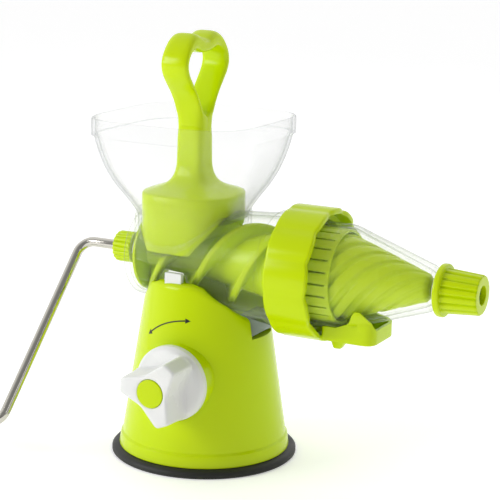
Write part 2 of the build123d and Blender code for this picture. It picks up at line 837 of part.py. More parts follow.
rod_inner_end = Vector(shaft_front_x - 12, 0, axle_height)
rod_tip = rod_far_corner + Vector(-grip_start - grip_length - 1, 0, 0)
with BuildPart() as crank_rod:
    with BuildLine():
        rod_path = FilletPolyline(rod_inner_end, rod_corner, rod_far_corner, rod_tip, radius=rod_bend)
    with BuildSketch(Plane(origin=rod_inner_end, z_dir=(-1, 0, 0))):
        Circle(rod_radius)
    sweep(path=rod_path)
crank_rod.part.label = "crank_rod"
export_step(crank_rod.part, "parts/crank_rod.step")

with BuildPart() as handle_grip:
    with BuildSketch(Plane(origin=grip_plane.origin, x_dir=(-1, 0, 0), z_dir=(0, -1, 0))):
        with BuildLine():
            Polyline(
                (0, rod_radius + loose_gap / 2),
                (0, grip_end_radius - 1.5),
                (1.5, grip_end_radius),
            )
            ThreePointArc(
                (1.5, grip_end_radius), (grip_length / 2, grip_radius), (grip_length - 1.5, grip_end_radius)
            )
            Polyline(
                (grip_length - 1.5, grip_end_radius),
                (grip_length, grip_end_radius - 1.5),
                (grip_length, rod_radius + loose_gap / 2),
                (0, rod_radius + loose_gap / 2),
            )
        make_face()
    revolve(axis=Axis(grip_plane.origin, (1, 0, 0)))
handle_grip.part.label = "handle_grip"
export_step(handle_grip.part, "parts/handle_grip.step")

with BuildPart() as grip_cap:
    with BuildSketch(grip_plane.offset(grip_length + loose_gap)):
        Circle(grip_end_radius - 2)
    extrude(amount=grip_cap_length)
    fillet(grip_cap.faces().sort_by(Axis.X)[0].edges(), radius=2)
    with BuildSketch(grip_plane.offset(grip_length + loose_gap)):
        Circle(rod_radius)
    extrude(amount=1 - loose_gap, mode=Mode.SUBTRACT)
grip_cap.part.label = "grip_cap"
export_step(grip_cap.part, "parts/grip_cap.step")

# --------------------------------------------------------- outlet end of barrel
with BuildPart() as juice_screen:
    with BuildSketch(Plane(origin=(screen_rear_x, 0, axle_height), z_dir=(1, 0, 0))):
        Circle(screen_radius)
    extrude(amount=screen_front_x - screen_rear_x)
    # flange that sits in the cone's bore
    with BuildSketch(Plane(origin=(cone_flange_x + loose_gap, 0, axle_height), z_dir=(1, 0, 0))):
        Circle(cone_radius - clear_wall - loose_gap / 2)
    extrude(amount=screen_flange_length)
    with BuildSketch(Plane(origin=(screen_rear_x, 0, axle_height), z_dir=(1, 0, 0))):
        Circle(screen_radius - screen_wall)
    extrude(amount=screen_front_x - screen_rear_x, mode=Mode.SUBTRACT)
    slot_start_x = cone_flange_x + loose_gap + screen_flange_length + screen_slot_margin
    with BuildSketch(Plane(origin=(slot_start_x, 0, axle_height), z_dir=(1, 0, 0))):
        with PolarLocations(screen_radius, screen_slots):
            Rectangle(screen_wall * 3, screen_slot_width)
    extrude(amount=screen_front_x - screen_slot_margin - slot_start_x, mode=Mode.SUBTRACT)
    # teeth on the rear edge
    with BuildSketch(Plane(origin=(screen_rear_x, 0, axle_height), z_dir=(1, 0, 0))):
        with PolarLocations(screen_radius, screen_teeth):
            Rectangle(screen_wall * 3, screen_radius * math.pi / screen_teeth)
    extrude(amount=screen_tooth_depth, mode=Mode.SUBTRACT)
juice_screen.part.label = "juice_screen"
export_step(juice_screen.part, "parts/juice_screen.step")

with BuildPart() as cone_gasket:
    with BuildSketch(Plane(origin=(gasket_x, 0, axle_height), z_dir=(1, 0, 0))):
        Circle(thread_radius)
        Circle(barrel_front_radius - clear_wall, mode=Mode.SUBTRACT)
    extrude(amount=gasket_thickness)
cone_gasket.part.label = "cone_gasket"
export_step(cone_gasket.part, "parts/cone_gasket.step")

spigot_end_x = cone_end_x + cone_spigot_length
with BuildPart() as outlet_cone:
    with BuildSketch(side_plane):
        with BuildLine():
            Polyline(
                (cone_flange_x, cone_radius - clear_wall),
                (cone_flange_x, cone_flange_radius),
                (cone_flange_x + cone_flange_thickness, cone_flange_radius),
                (cone_flange_x + cone_flange_thickness, cone_radius),
                (cone_taper_x, cone_radius),
                (cone_end_x, cone_end_radius),
                (cone_end_x, cone_spigot_radius),
                (spigot_end_x, cone_spigot_radius),
                (spigot_end_x, cone_spigot_radius - cone_spigot_wall),
                (cone_end_x, cone_spigot_radius - cone_spigot_wall + 1.4),
                (cone_end_x - 4, cone_end_radius - clear_wall),
                (cone_taper_x, cone_radius - clear_wall),
                close=True,
            )
        make_face()
    revolve(axis=barrel_axis)
    # slot underneath that lets the juice into the spout
    with BuildSketch(Plane.XY.offset(spout_bottom)):
        with Locations(((spout_rear_x + spout_front_x) / 2 - 4, 0)):
            Rectangle(14, 8)
    extrude(amount=spout_low_top - spout_bottom + 4, mode=Mode.SUBTRACT)
outlet_cone.part.label = "outlet_cone"
export_step(outlet_cone.part, "parts/outlet_cone.step")

lip_x = cone_flange_x + cone_flange_thickness + loose_gap / 2
with BuildPart() as ring_nut:
    with BuildSketch(Plane(origin=(ring_rear_x, 0, axle_height), x_dir=(0, 1, 0), z_dir=(1, 0, 0))):
        with PolarLocations(ring_lobe_centre, ring_lobes, start_angle=360 / ring_lobes / 2):
            Circle(ring_lobe_radius)
    extrude(amount=ring_front_x - ring_rear_x)
    outer_edges = ring_nut.faces().filter_by(GeomType.PLANE).edges()
    chamfer(outer_edges, length=ring_edge_chamfer)
    with BuildSketch(side_plane):
        with BuildLine():
            Polyline(
                (ring_rear_x - 1, 0),
                (ring_rear_x - 1, cone_flange_radius + ring_thread_gap),
                (lip_x, cone_flange_radius + ring_thread_gap),
                (lip_x, cone_radius + loose_gap),
                (lip_x + ring_lip_length, cone_radius + loose_gap),
                (lip_x + ring_lip_length, ring_mouth_radius),
                (ring_front_x + 1, ring_mouth_radius),
                (ring_front_x + 1, 0),
                close=True,
            )
        make_face()
    revolve(axis=barrel_axis, mode=Mode.SUBTRACT)
ring_nut.part.label = "ring_nut"
export_step(ring_nut.part, "parts/ring_nut.step")

with BuildPart() as outlet_cap:
    with BuildSketch(Plane(origin=(cap_flange_x, 0, axle_height), z_dir=(1, 0, 0))):
        Circle(cap_flange_radius)
    extrude(amount=cap_flange_length)
    fillet(outlet_cap.edges(), radius=1.6)
    with BuildSketch(Plane(origin=(cap_flange_x + cap_flange_length, 0, axle_height), z_dir=(1, 0, 0))):
        RegularPolygon(cap_body_radius, cap_facets)
    extrude(amount=cap_end_x - cap_flange_x - cap_flange_length, taper=cap_taper)
    fillet(outlet_cap.faces().sort_by(Axis.X)[-1].edges(), radius=1.0)
    with BuildSketch(Plane(origin=(cap_flange_x, 0, axle_height), z_dir=(1, 0, 0))):
        Circle(cone_spigot_radius + loose_gap / 2)
    extrude(amount=cap_end_x - cap_end_wall - cap_flange_x, mode=Mode.SUBTRACT)
    with BuildSketch(Plane(origin=(cap_flange_x, 0, axle_height), z_dir=(1, 0, 0))):
        Circle(cap_hole_radius)
    extrude(amount=far / 4, mode=Mode.SUBTRACT)
outlet_cap.part.label = "outlet_cap"
export_step(outlet_cap.part, "parts/outlet_cap.step")

with BuildPart() as cap_seal:
    with BuildSketch(side_plane):
        with Locations((cap_flange_x - cap_seal_wire, cone_spigot_radius + cap_seal_wire)):
            Circle(cap_seal_wire)
    revolve(axis=barrel_axis)
cap_seal.part.label = "cap_seal"
export_step(cap_seal.part, "parts/cap_seal.step")

# ------------------------------------------------------------------ juice spout
spout_middle = (spout_rear_x + spout_front_x) / 2

# thumb ear that leans out round the cone's near side
with BuildPart() as spout_ear:
    with BuildSketch(Plane.XZ.offset(spout_half - spout_wall)):
        with BuildLine():
            Bezier(
                (spout_ear_x - 12, spout_low_top - 1),
                (spout_ear_x - 6, spout_low_top),
                (spout_ear_x - 7, spout_ear_top),
                (spout_ear_x, spout_ear_top),
            )
            Bezier(
                (spout_ear_x, spout_ear_top),
                (spout_ear_x + 4, spout_ear_top),
                (spout_ear_x + 3, spout_low_top),
                (spout_front_x, spout_low_top - 1),
            )
            Line((spout_front_x, spout_low_top - 1), (spout_ear_x - 12, spout_low_top - 1))
        make_face()
    extrude(amount=far / 8)
    with BuildSketch(side_plane):
        with BuildLine():
            Polyline(
                (0, 0),
                (0, cone_radius + spout_gap + spout_wall),
                (cone_taper_x, cone_radius + spout_gap + spout_wall),
                (cone_end_x, cone_end_radius + spout_gap + spout_wall),
                (cone_end_x, 0),
                close=True,
            )
        make_face()
    revolve(axis=barrel_axis, mode=Mode.INTERSECT)

with BuildPart() as juice_spout:
    with BuildSketch(Plane.XY.offset(spout_bottom)):
        with Locations((spout_middle, 0)):
            outline = Rectangle(spout_front_x - spout_rear_x, 2 * spout_half)
        fillet(outline.vertices().group_by(Axis.X)[-1], radius=spout_corner)
    extrude(amount=spout_ear_top - spout_bottom)
    # ear on the near corner, low rim elsewhere
    with BuildSketch(Plane.XZ):
        with BuildLine():
            Polyline((spout_rear_x - 1, spout_low_top), (spout_ear_x - 16, spout_low_top - 0.4))
            Bezier(
                (spout_ear_x - 16, spout_low_top - 0.4),
                (spout_ear_x - 8, spout_low_top - 0.6),
                (spout_ear_x - 8, spout_ear_top),
                (spout_ear_x, spout_ear_top),
            )
            Bezier(
                (spout_ear_x, spout_ear_top),
                (spout_ear_x + 5, spout_ear_top),
                (spout_ear_x + 4, spout_low_top - 1),
                (spout_front_x + 1, spout_low_top - 3),
            )
            Polyline(
                (spout_front_x + 1, spout_low_top - 3),
                (spout_front_x + 1, spout_ear_top + 1),
                (spout_rear_x - 1, spout_ear_top + 1),
                (spout_rear_x - 1, spout_low_top),
            )
        make_face()
    extrude(amount=far / 4, both=True, mode=Mode.SUBTRACT)
    with BuildSketch(Plane.XY.offset(spout_low_top - 4)):
        with Locations((spout_middle, spout_half)):
            Rectangle(far / 4, 2 * spout_half, align=(Align.CENTER, Align.CENTER))
    extrude(amount=far / 8, mode=Mode.SUBTRACT)
    # trough
    with BuildSketch(Plane.XY.offset(spout_bottom + spout_wall)):
        with Locations((spout_middle, 0)):
            trough = Rectangle(
                spout_front_x - spout_rear_x - 2 * spout_wall, 2 * (spout_half - spout_wall)
            )
        fillet(trough.vertices().group_by(Axis.X)[-1], radius=spout_corner - spout_wall)
    extrude(amount=far / 8, mode=Mode.SUBTRACT)
    # pouring tip
    with BuildSketch(Plane.XY.offset(spout_bottom + spout_wall / 2)):
        with Locations((spout_rear_x + 7, 0)):
            Rectangle(13, 13)
    with BuildSketch(Plane.XY.offset(spout_tip_bottom)):
        with Locations((spout_rear_x + 4, 0)):
            Rectangle(5, 6)
    loft()
    with BuildSketch(Plane.XY.offset(spout_tip_bottom - 1)):
        with Locations((spout_rear_x + 4.5, 0)):
            Circle(1.8)
    extrude(amount=spout_bottom + spout_wall - spout_tip_bottom + 2, mode=Mode.SUBTRACT)
    add(spout_ear.part)
    # the cone passes above it
    with BuildSketch(side_plane):
        with BuildLine():
            Polyline(
                (0, 0),
                (0, cone_radius + spout_gap),
                (cone_taper_x, cone_radius + spout_gap),
                (cone_end_x, cone_end_radius + spout_gap),
                (cone_end_x, 0),
                close=True,
            )
        make_face()
    revolve(axis=barrel_axis, mode=Mode.SUBTRACT)
juice_spout.part.label = "juice_spout"
export_step(juice_spout.part, "parts/juice_spout.step")

# ----------------------------------------------------------------------- hopper
# share of the way from the neck's outline to the rim's, at each height
bowl_side = bowl_height - rim_band
bowl_levels = (
    (bowl_foot_z, 0.0),
    (bowl_foot_z + 0.088 * bowl_side, 0.08),
    (bowl_foot_z + 0.228 * bowl_side, 0.27),
    (bowl_foot_z + 0.404 * bowl_side, 0.53),
    (bowl_foot_z + 0.596 * bowl_side, 0.73),
    (bowl_foot_z + 0.807 * bowl_side, 0.87),
    (rim_z - rim_band, 0.97),
)


def bowl_outline(share, inset):
    """Outline between the neck's (share 0) and the rim's (share 1), moved inwards."""
    half = neck_half + share * (rim_half - neck_half)
    bow = neck_bow + share * (rim_bow - neck_bow)
    corner = neck_corner + share * (rim_corner - neck_corner)
    return bowed_square(half - inset, bow, corner - inset)


with BuildPart() as bowl_inside:
    for z, share in bowl_levels:
        with BuildSketch(neck_plane(z)):
            add(bowl_outline(share, bowl_wall))
    loft(ruled=True)
    with BuildSketch(neck_plane(rim_z - rim_band)):
        add(bowl_outline(bowl_levels[-1][1], bowl_wall))
    extrude(amount=rim_band + 1)

with BuildPart() as hopper:
    for z, share in bowl_levels:
        with BuildSketch(neck_plane(z)):
            add(bowl_outline(share, 0))
    loft(ruled=True)
    with BuildSketch(neck_plane(rim_z - rim_band)):
        add(bowed_square(rim_half, rim_bow, rim_corner))
    extrude(amount=rim_band)
    with BuildSketch(neck_plane(axle_height + opening_floor / 2 + loose_gap)):
        add(bowed_square(neck_half, neck_bow, neck_corner))
    extrude(amount=bowl_foot_z - axle_height - opening_floor / 2 - loose_gap)
    add(bowl_inside.part, mode=Mode.SUBTRACT)
    with BuildSketch(neck_plane(axle_height - 1)):
        add(bowed_square(neck_half - neck_wall, neck_bow, neck_corner - neck_wall))
    extrude(amount=bowl_foot_z - axle_height + 1, mode=Mode.SUBTRACT)
    # lower edge follows the seat on the barrel
    with BuildSketch(side_plane):
        with BuildLine():
            Polyline(
                (-far / 2, 0),
                (-far / 2, barrel_radius(-far / 2) + seat_rise + loose_gap / 4),
                (far / 2, barrel_radius(far / 2) + seat_rise + loose_gap / 4),
                (far / 2, 0),
                close=True,
            )
        make_face()
    revolve(axis=barrel_axis, mode=Mode.SUBTRACT)
hopper.part.label = "hopper"
export_step(hopper.part, "parts/hopper.step")

# ---------------------------------------------------------------------- plunger
foot_half = neck_half - neck_wall - foot_gap
handle_plane = Plane(origin=(neck_x, 0, plunger_neck_z), x_dir=(0, 1, 0), z_dir=(1, 0, 0))
stem_start = 12 - plunger_stem_length
with BuildPart() as plunger_handle:
    # heights are from the top of the stem
    with BuildSketch(handle_plane):
        with BuildLine():
            Line((plunger_stem_half, stem_start), (plunger_stem_half, 0))
            Spline(
                (plunger_stem_half, 0), (19, 16.5), (27.3, 26), (31.6, 35),
                (28.4, 45), (20, 54), (13, 56.6), (6, 53.8), (0, 52),
                tangents=((0, 1), (-1, 0)),
            )
            mirror(about=Plane.YZ)
            Line((-plunger_stem_half, stem_start), (plunger_stem_half, stem_start))
        make_face()
        with BuildLine():
            Spline(
                (0, 0.8), (7.6, 6), (13.6, 16.4), (20.6, 26),
                (25.6, 34), (22.5, 41.5), (15, 44.4), (0, 42.5),
                tangents=((1, 0), (-1, 0)),
            )
            mirror(about=Plane.YZ)
        make_face(mode=Mode.SUBTRACT)
    extrude(amount=plunger_stem_half, both=True)

with BuildPart() as plunger:
    with BuildSketch(neck_plane(axle_height + opening_floor + foot_bottom_gap)):
        add(bowed_square(foot_half, neck_bow, neck_corner - neck_wall))
    extrude(amount=foot_top - axle_height - opening_floor - foot_bottom_gap)
    with BuildSketch(neck_plane(foot_top)):
        add(bowed_square(foot_half, neck_bow, neck_corner - neck_wall))
    with BuildSketch(neck_plane(foot_top + 6)):
        add(bowed_square(17, neck_bow, 9))
    with BuildSketch(neck_plane(foot_top + 11)):
        add(bowed_square(12, neck_bow / 2, 4.5))
    with BuildSketch(neck_plane(foot_top + 18)):
        add(bowed_square(plunger_stem_half - 1.5, neck_bow / 4, plunger_stem_corner))
    loft(ruled=True)
    add(plunger_handle.part)
    with BuildSketch(side_plane):
        with BuildLine():
            Polyline(
                (-far / 2, 0),
                (-far / 2, barrel_radius(-far / 2) - clear_wall + foot_bottom_gap / 2),
                (far / 2, barrel_radius(far / 2) - clear_wall + foot_bottom_gap / 2),
                (far / 2, 0),
                close=True,
            )
        make_face()
    revolve(axis=barrel_axis, mode=Mode.SUBTRACT)
plunger.part.label = "plunger"
export_step(plunger.part, "parts/plunger.step")
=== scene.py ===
import json
import math

import bmesh
import bpy
import numpy as np
from bpy.props import FloatProperty, FloatVectorProperty, IntProperty, PointerProperty
from mathutils import Matrix, Vector

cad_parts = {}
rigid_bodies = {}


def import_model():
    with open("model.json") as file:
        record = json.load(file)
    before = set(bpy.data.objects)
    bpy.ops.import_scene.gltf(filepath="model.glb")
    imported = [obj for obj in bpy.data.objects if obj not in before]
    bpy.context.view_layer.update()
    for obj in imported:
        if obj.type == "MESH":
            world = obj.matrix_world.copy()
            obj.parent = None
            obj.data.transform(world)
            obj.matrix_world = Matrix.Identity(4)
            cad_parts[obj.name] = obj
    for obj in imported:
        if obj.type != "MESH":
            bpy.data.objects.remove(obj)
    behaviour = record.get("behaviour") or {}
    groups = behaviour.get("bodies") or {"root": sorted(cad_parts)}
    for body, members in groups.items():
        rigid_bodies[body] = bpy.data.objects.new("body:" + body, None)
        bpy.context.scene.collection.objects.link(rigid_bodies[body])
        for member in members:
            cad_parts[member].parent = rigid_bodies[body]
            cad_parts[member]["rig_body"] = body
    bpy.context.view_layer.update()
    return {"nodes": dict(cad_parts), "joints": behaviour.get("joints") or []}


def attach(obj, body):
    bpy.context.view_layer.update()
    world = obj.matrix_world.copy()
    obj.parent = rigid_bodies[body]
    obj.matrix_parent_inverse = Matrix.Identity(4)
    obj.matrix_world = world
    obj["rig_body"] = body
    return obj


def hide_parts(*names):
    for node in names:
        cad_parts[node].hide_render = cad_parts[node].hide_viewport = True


bl_info = {
    "name": "Hand-Cranked Juicer",
    "version": (1, 0, 0),
    "blender": (4, 5, 0),
    "location": "View3D > Sidebar > Juicer",
    "description": "Dresses the juicer's frame with its moulded pieces, finishes and a studio",
    "category": "Object",
}

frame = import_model()
NODES = frame["nodes"]

MM = 0.001


def joint_place(name):
    """Where the frame puts a joint, in mm."""
    joint = next(j for j in frame["joints"] if j["name"] == name)
    return [round(value / MM, 6) for value in joint["pos_m"]]


# Sizes and places are in mm. A pair is a place along the axis and the radius there.
AXLE_Z = joint_place("crank_spin")[2]
KNOB_X, KNOB_BACK, KNOB_Z = joint_place("knob_turn")
BOSS_FACE = 51.5                # how far the base's boss reaches towards -Y
BASE_FOOT, BASE_TOP = (17.0, 57.2), (128.0, 40.4)
BARREL_REAR, BARREL_FRONT = (-50.0, 31.0), (56.0, 37.5)
BARREL_PLAY = 0.4               # gap between the barrel and the base's trough
CONE_REAR, CONE_FRONT = (107.4, 35.8), (168.0, 15.4)
NECK_X = -11.0                  # middle of the feed neck
NECK_POWER = 2.75               # how square the neck's outline is


# ------------------------------------------------------------ curves in the plane
def rounded(points, radii, closed=False, steps=5):
    """Polyline whose corners are rounded: each corner is replaced by a quadratic curve that starts
    and ends where a circle of that radius would touch its two sides, limited to 0.45 of a side."""
    pts = np.asarray(points, float)
    count = len(pts)
    radii = np.broadcast_to(np.asarray(radii, float), (count,))
    out = []
    for i in range(count):
        if radii[i] <= 0 or (not closed and i in (0, count - 1)):
            out.append(pts[i][None])
            continue
        before, here, after = pts[i - 1], pts[i], pts[(i + 1) % count]
        a, b = before - here, after - here
        la, lb = np.linalg.norm(a), np.linalg.norm(b)
        half = 0.5 * math.acos(float(np.clip(a @ b / (la * lb), -0.9999, 0.9999)))
        reach = min(radii[i] / math.tan(half), 0.45 * la, 0.45 * lb)
        t = np.linspace(0, 1, steps + 1)[:, None]
        p, q = here + a / la * reach, here + b / lb * reach
        out.append((1 - t) ** 2 * p + 2 * t * (1 - t) * here + t ** 2 * q)
    return np.concatenate(out)


def smooth_through(points, steps=8, closed=False):
    """Catmull-Rom curve: between two points it is the cubic whose slope at each is half the step
    between that point's neighbours."""
    p = np.asarray(points, float)
    if closed:
        p = np.concatenate((p[-1:], p, p[:2]))
    else:
        p = np.concatenate((2 * p[:1] - p[1:2], p, 2 * p[-1:] - p[-2:-1]))
    t = (np.arange(steps) / steps)[None, :, None]
    a, b, c, d = (p[i:len(p) - 3 + i, None, :] for i in range(4))
    curve = 0.5 * (2 * b + (c - a) * t + (2 * a - 5 * b + 4 * c - d) * t ** 2
                   + (3 * b - a - 3 * c + d) * t ** 3)
    curve = curve.reshape(-1, p.shape[1])
    return curve if closed else np.concatenate((curve, p[-2:-1]))


def circle(count):
    """Angles spread evenly over a full turn."""
    return np.linspace(0, 2 * np.pi, count, endpoint=False)


def squircle(angle, half, power):
    """Radius of the curve |x/half|^power + |y/half|^power = 1 in a direction."""
    return half / (np.abs(np.cos(angle)) ** power + np.abs(np.sin(angle)) ** power) ** (1 / power)


def neck_loop(angle, half, power=NECK_POWER):
    """Points of the neck's squircle, as its two level coordinates."""
    r = squircle(angle, half, power)
    return NECK_X + r * np.cos(angle), r * np.sin(angle)


def level_loop(angle, z, half, power):
    """The neck's squircle at one height."""
    x, y = neck_loop(angle, half, power)
    return np.stack((x, y, z + 0 * angle), -1)


def resampled(outline, count):
    """Closed polyline with its points spread evenly along its length."""
    dense = np.concatenate((outline, outline[:1]))
    steps = np.linalg.norm(np.diff(dense, axis=0), axis=1)
    length = np.concatenate(((0,), np.cumsum(steps)))
    at = np.linspace(0, length[-1], count, endpoint=False)
    return np.stack([np.interp(at, length, dense[:, i]) for i in (0, 1)], -1)


# -------------------------------------------------------------------- grids
def turned(profile, origin, axis, turns=160):
    """Surface of revolution: each profile point (along, radius) goes round the axis."""
    axis = np.asarray(axis, float)
    first = np.array((0.0, 1.0, 0.0)) if abs(axis[1]) < 0.5 else np.array((1.0, 0.0, 0.0))
    second = np.cross(axis, first)
    angle = circle(turns)
    ring = np.cos(angle)[:, None] * first + np.sin(angle)[:, None] * second
    profile = np.asarray(profile, float)
    return (np.asarray(origin, float) + profile[:, None, :1] * axis
            + profile[:, None, 1:2] * ring[None])


def round_axle(along, radius, turns):
    """Grid round the barrel's axis from arrays of place along it and radius, one row each."""
    angle = circle(turns)
    along, radius = np.broadcast_arrays(along, radius)
    return np.stack((along, radius * np.cos(angle), AXLE_Z + radius * np.sin(angle)), axis=-1)


def piece(name, grids, body, replaces=(), sharp=32.0):
    """Mesh of one or more grids, each (points in mm, rows close up, columns close up).
    Neighbouring points in a grid make a quad, doubles are merged, and faces turn outwards."""
    points, faces, base = [], [], 0
    for grid, wrap_rows, wrap_columns in grids:
        rows, columns = grid.shape[:2]
        index = np.arange(rows * columns).reshape(rows, columns) + base
        if wrap_rows:
            index = np.concatenate((index, index[:1]))
        if wrap_columns:
            index = np.concatenate((index, index[:, :1]), axis=1)
        quads = np.stack((index[:-1, :-1], index[1:, :-1], index[1:, 1:], index[:-1, 1:]), -1)
        points.append(grid.reshape(-1, 3))
        faces.append(quads.reshape(-1, 4))
        base += rows * columns
    points, faces = np.concatenate(points) * MM, np.concatenate(faces)
    mesh = bpy.data.meshes.new(name)
    mesh.vertices.add(len(points))
    mesh.vertices.foreach_set("co", points.ravel())
    mesh.loops.add(faces.size)
    mesh.loops.foreach_set("vertex_index", faces.ravel())
    mesh.polygons.add(len(faces))
    mesh.polygons.foreach_set("loop_start", np.arange(0, faces.size, 4))
    mesh.update(calc_edges=True)
    mesh.validate()
    work = bmesh.new()
    work.from_mesh(mesh)
    bmesh.ops.remove_doubles(work, verts=work.verts, dist=2e-6)
    bmesh.ops.dissolve_degenerate(work, edges=work.edges, dist=1e-6)
    bmesh.ops.recalc_face_normals(work, faces=work.faces)
    work.to_mesh(mesh)
    work.free()
    mesh.shade_smooth()
    mesh.set_sharp_from_angle(angle=math.radians(sharp))
    made = bpy.data.objects.new(name, mesh)
    bpy.context.scene.collection.objects.link(made)
    if body is not None:
        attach(made, body)
    if replaces:
        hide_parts(*replaces)
    return made


def cut_away(target, grids):
    """Takes the closed grids' space out of the target, exactly, and keeps the result."""
    tool = piece(target.name + "_cutter", grids, None)
    change = target.modifiers.new("cut", "BOOLEAN")
    change.operation = "DIFFERENCE"
    change.solver = "EXACT"
    change.object = tool
    graph = bpy.context.evaluated_depsgraph_get()
    result = bpy.data.meshes.new_from_object(target.evaluated_get(graph))
    target.modifiers.remove(change)
    target.data = result
    bpy.data.objects.remove(tool)
    target.data.shade_smooth()
    target.data.set_sharp_from_angle(angle=math.radians(32))


def closed_box(low, high):
    """Six faces of a box as a capped tube: four corners at each of two levels, and two poles."""
    (x0, y0, z0), (x1, y1, z1) = low, high
    loop = np.array(((x0, y0), (x1, y0), (x1, y1), (x0, y1)), float)
    middle = loop.mean(0)
    rows = [(middle, z0), (loop, z0), (loop, z1), (middle, z1)]
    grid = [np.concatenate((np.broadcast_to(p, (4, 2)), np.full((4, 1), z)), 1) for p, z in rows]
    return [(np.array(grid), False, True)]


def smoothed_node(node):
    """Copy of a CAD node with its loose triangles merged, smooth except at real edges."""
    source = NODES[node]
    mesh = source.data.copy()
    mesh.name = node + "_skin"
    work = bmesh.new()
    work.from_mesh(mesh)
    bmesh.ops.remove_doubles(work, verts=work.verts, dist=1e-6)
    work.to_mesh(mesh)
    work.free()
    mesh.shade_smooth()
    mesh.set_sharp_from_angle(angle=math.radians(28))
    mesh.materials.clear()
    made = bpy.data.objects.new(node + "_skin", mesh)
    bpy.context.scene.collection.objects.link(made)
    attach(made, source["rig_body"])
    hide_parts(node)
    return made


# ------------------------------------------------------------------ materials
def srgb(code):
    """Linear colour from an sRGB hex code."""
    parts = np.array([int(code[i:i + 2], 16) for i in (0, 2, 4)]) / 255
    linear = np.where(parts <= 0.04045, parts / 12.92, ((parts + 0.055) / 1.055) ** 2.4)
    return (*linear.tolist(), 1.0)


def add_node(tree, kind, settings=None, inputs=None):
    """Adds a node, sets its properties and its sockets, and links sockets given as sockets."""
    node = tree.nodes.new(kind)
    for key, value in (settings or {}).items():
        setattr(node, key, value)
    for key, value in (inputs or {}).items():
        if isinstance(value, bpy.types.NodeSocket):
            tree.links.new(value, node.inputs[key])
        else:
            node.inputs[key].default_value = value
    return node


def new_material(name, shader_inputs):
    """Material with one Principled shader; returns it, its tree and the shader."""
    material = bpy.data.materials.new(name)
    material.use_nodes = True
    tree = material.node_tree
    shader = tree.nodes["Principled BSDF"]
    for key, value in shader_inputs.items():
        shader.inputs[key].default_value = value
    return material, tree, shader


def grain(tree, shader, size_mm, strength, roughness=None, spread=0.05, detail=4.0):
    """Fine noise of a real grain size: a bump a few hundredths of a mm deep, and a little variation
    of roughness about its middle value."""
    place = add_node(tree, "ShaderNodeTexCoord")
    noise = add_node(tree, "ShaderNodeTexNoise", None, {
        "Vector": place.outputs["Object"], "Scale": 1000.0 / size_mm, "Detail": detail})
    bump = add_node(tree, "ShaderNodeBump", None, {
        "Height": noise.outputs["Fac"], "Strength": strength, "Distance": 0.0001})
    tree.links.new(bump.outputs["Normal"], shader.inputs["Normal"])
    if roughness is not None:
        broad = add_node(tree, "ShaderNodeTexNoise", None, {
            "Vector": place.outputs["Object"], "Scale": 45.0, "Detail": 3.0})
        level = add_node(tree, "ShaderNodeMapRange", None, {
            "Value": broad.outputs["Fac"], "From Min": 0.3, "From Max": 0.7,
            "To Min": roughness - spread, "To Max": roughness + spread})
        tree.links.new(level.outputs["Result"], shader.inputs["Roughness"])
    return place


def grained(name, shader_inputs, *grain_settings):
    """Material with one shader and a grain."""
    material, tree, shader = new_material(name, shader_inputs)
    grain(tree, shader, *grain_settings)
    return material


def moulded_abs(name, colour, roughness):
    """Injection-moulded ABS from a polished tool: even colour, soft gloss, very slight waviness
    of the skin that makes long highlights waver."""
    material, tree, shader = new_material(name, {
        "Base Color": srgb(colour), "IOR": 1.5, "Specular IOR Level": 0.22})
    place = grain(tree, shader, 9.0, 0.06, roughness, 0.03)
    cloud = add_node(tree, "ShaderNodeTexNoise", None, {
        "Vector": place.outputs["Object"], "Scale": 22.0, "Detail": 2.0})
    tint = add_node(tree, "ShaderNodeMix", {"data_type": "RGBA", "blend_type": "MULTIPLY"}, {
        "Factor": 0.05, "A": srgb(colour), "B": cloud.outputs["Color"]})
    tree.links.new(tint.outputs["Result"], shader.inputs["Base Color"])
    return material


def clear_san(name, tint, grazing_painted_shade_tint, see_through, edge, gloss=0.5):
    """Clear styrene-acrylonitrile from a polished tool: a faint haze face on, and a denser grey
    where the wall is seen edge on.
    The grey edge colour is painted shade for dark surroundings reflected at grazing angles, partly
    also light going a long way through the wall."""
    material, tree, shader = new_material(name, {
        "IOR": 1.45, "Roughness": 0.03, "Transmission Weight": 0.25, "Specular IOR Level": gloss})
    place = add_node(tree, "ShaderNodeTexCoord")
    wave = add_node(tree, "ShaderNodeTexNoise", None, {
        "Vector": place.outputs["Object"], "Scale": 60.0, "Detail": 1.0})
    bump = add_node(tree, "ShaderNodeBump", None, {
        "Height": wave.outputs["Fac"], "Strength": 0.12, "Distance": 0.0004})
    tree.links.new(bump.outputs["Normal"], shader.inputs["Normal"])
    facing = add_node(tree, "ShaderNodeLayerWeight", None, {"Blend": 0.5})
    level = add_node(tree, "ShaderNodeMapRange", {"interpolation_type": "SMOOTHSTEP"}, {
        "Value": facing.outputs["Facing"], "From Min": 0.5, "From Max": 0.97,
        "To Min": see_through, "To Max": edge})
    tree.links.new(level.outputs["Result"], shader.inputs["Alpha"])
    # Painted shade: the base colour goes from the tint to a darker grey as the wall turns edge on.
    depth = add_node(tree, "ShaderNodeMapRange", None, {
        "Value": facing.outputs["Facing"], "From Min": 0.55, "From Max": 0.95})
    colour = add_node(tree, "ShaderNodeMix", {"data_type": "RGBA"}, {
        "Factor": depth.outputs["Result"]})
    colour.inputs["A"].default_value = srgb(tint)
    colour.inputs["B"].default_value = srgb(grazing_painted_shade_tint)
    tree.links.new(colour.outputs["Result"], shader.inputs["Base Color"])
    return material


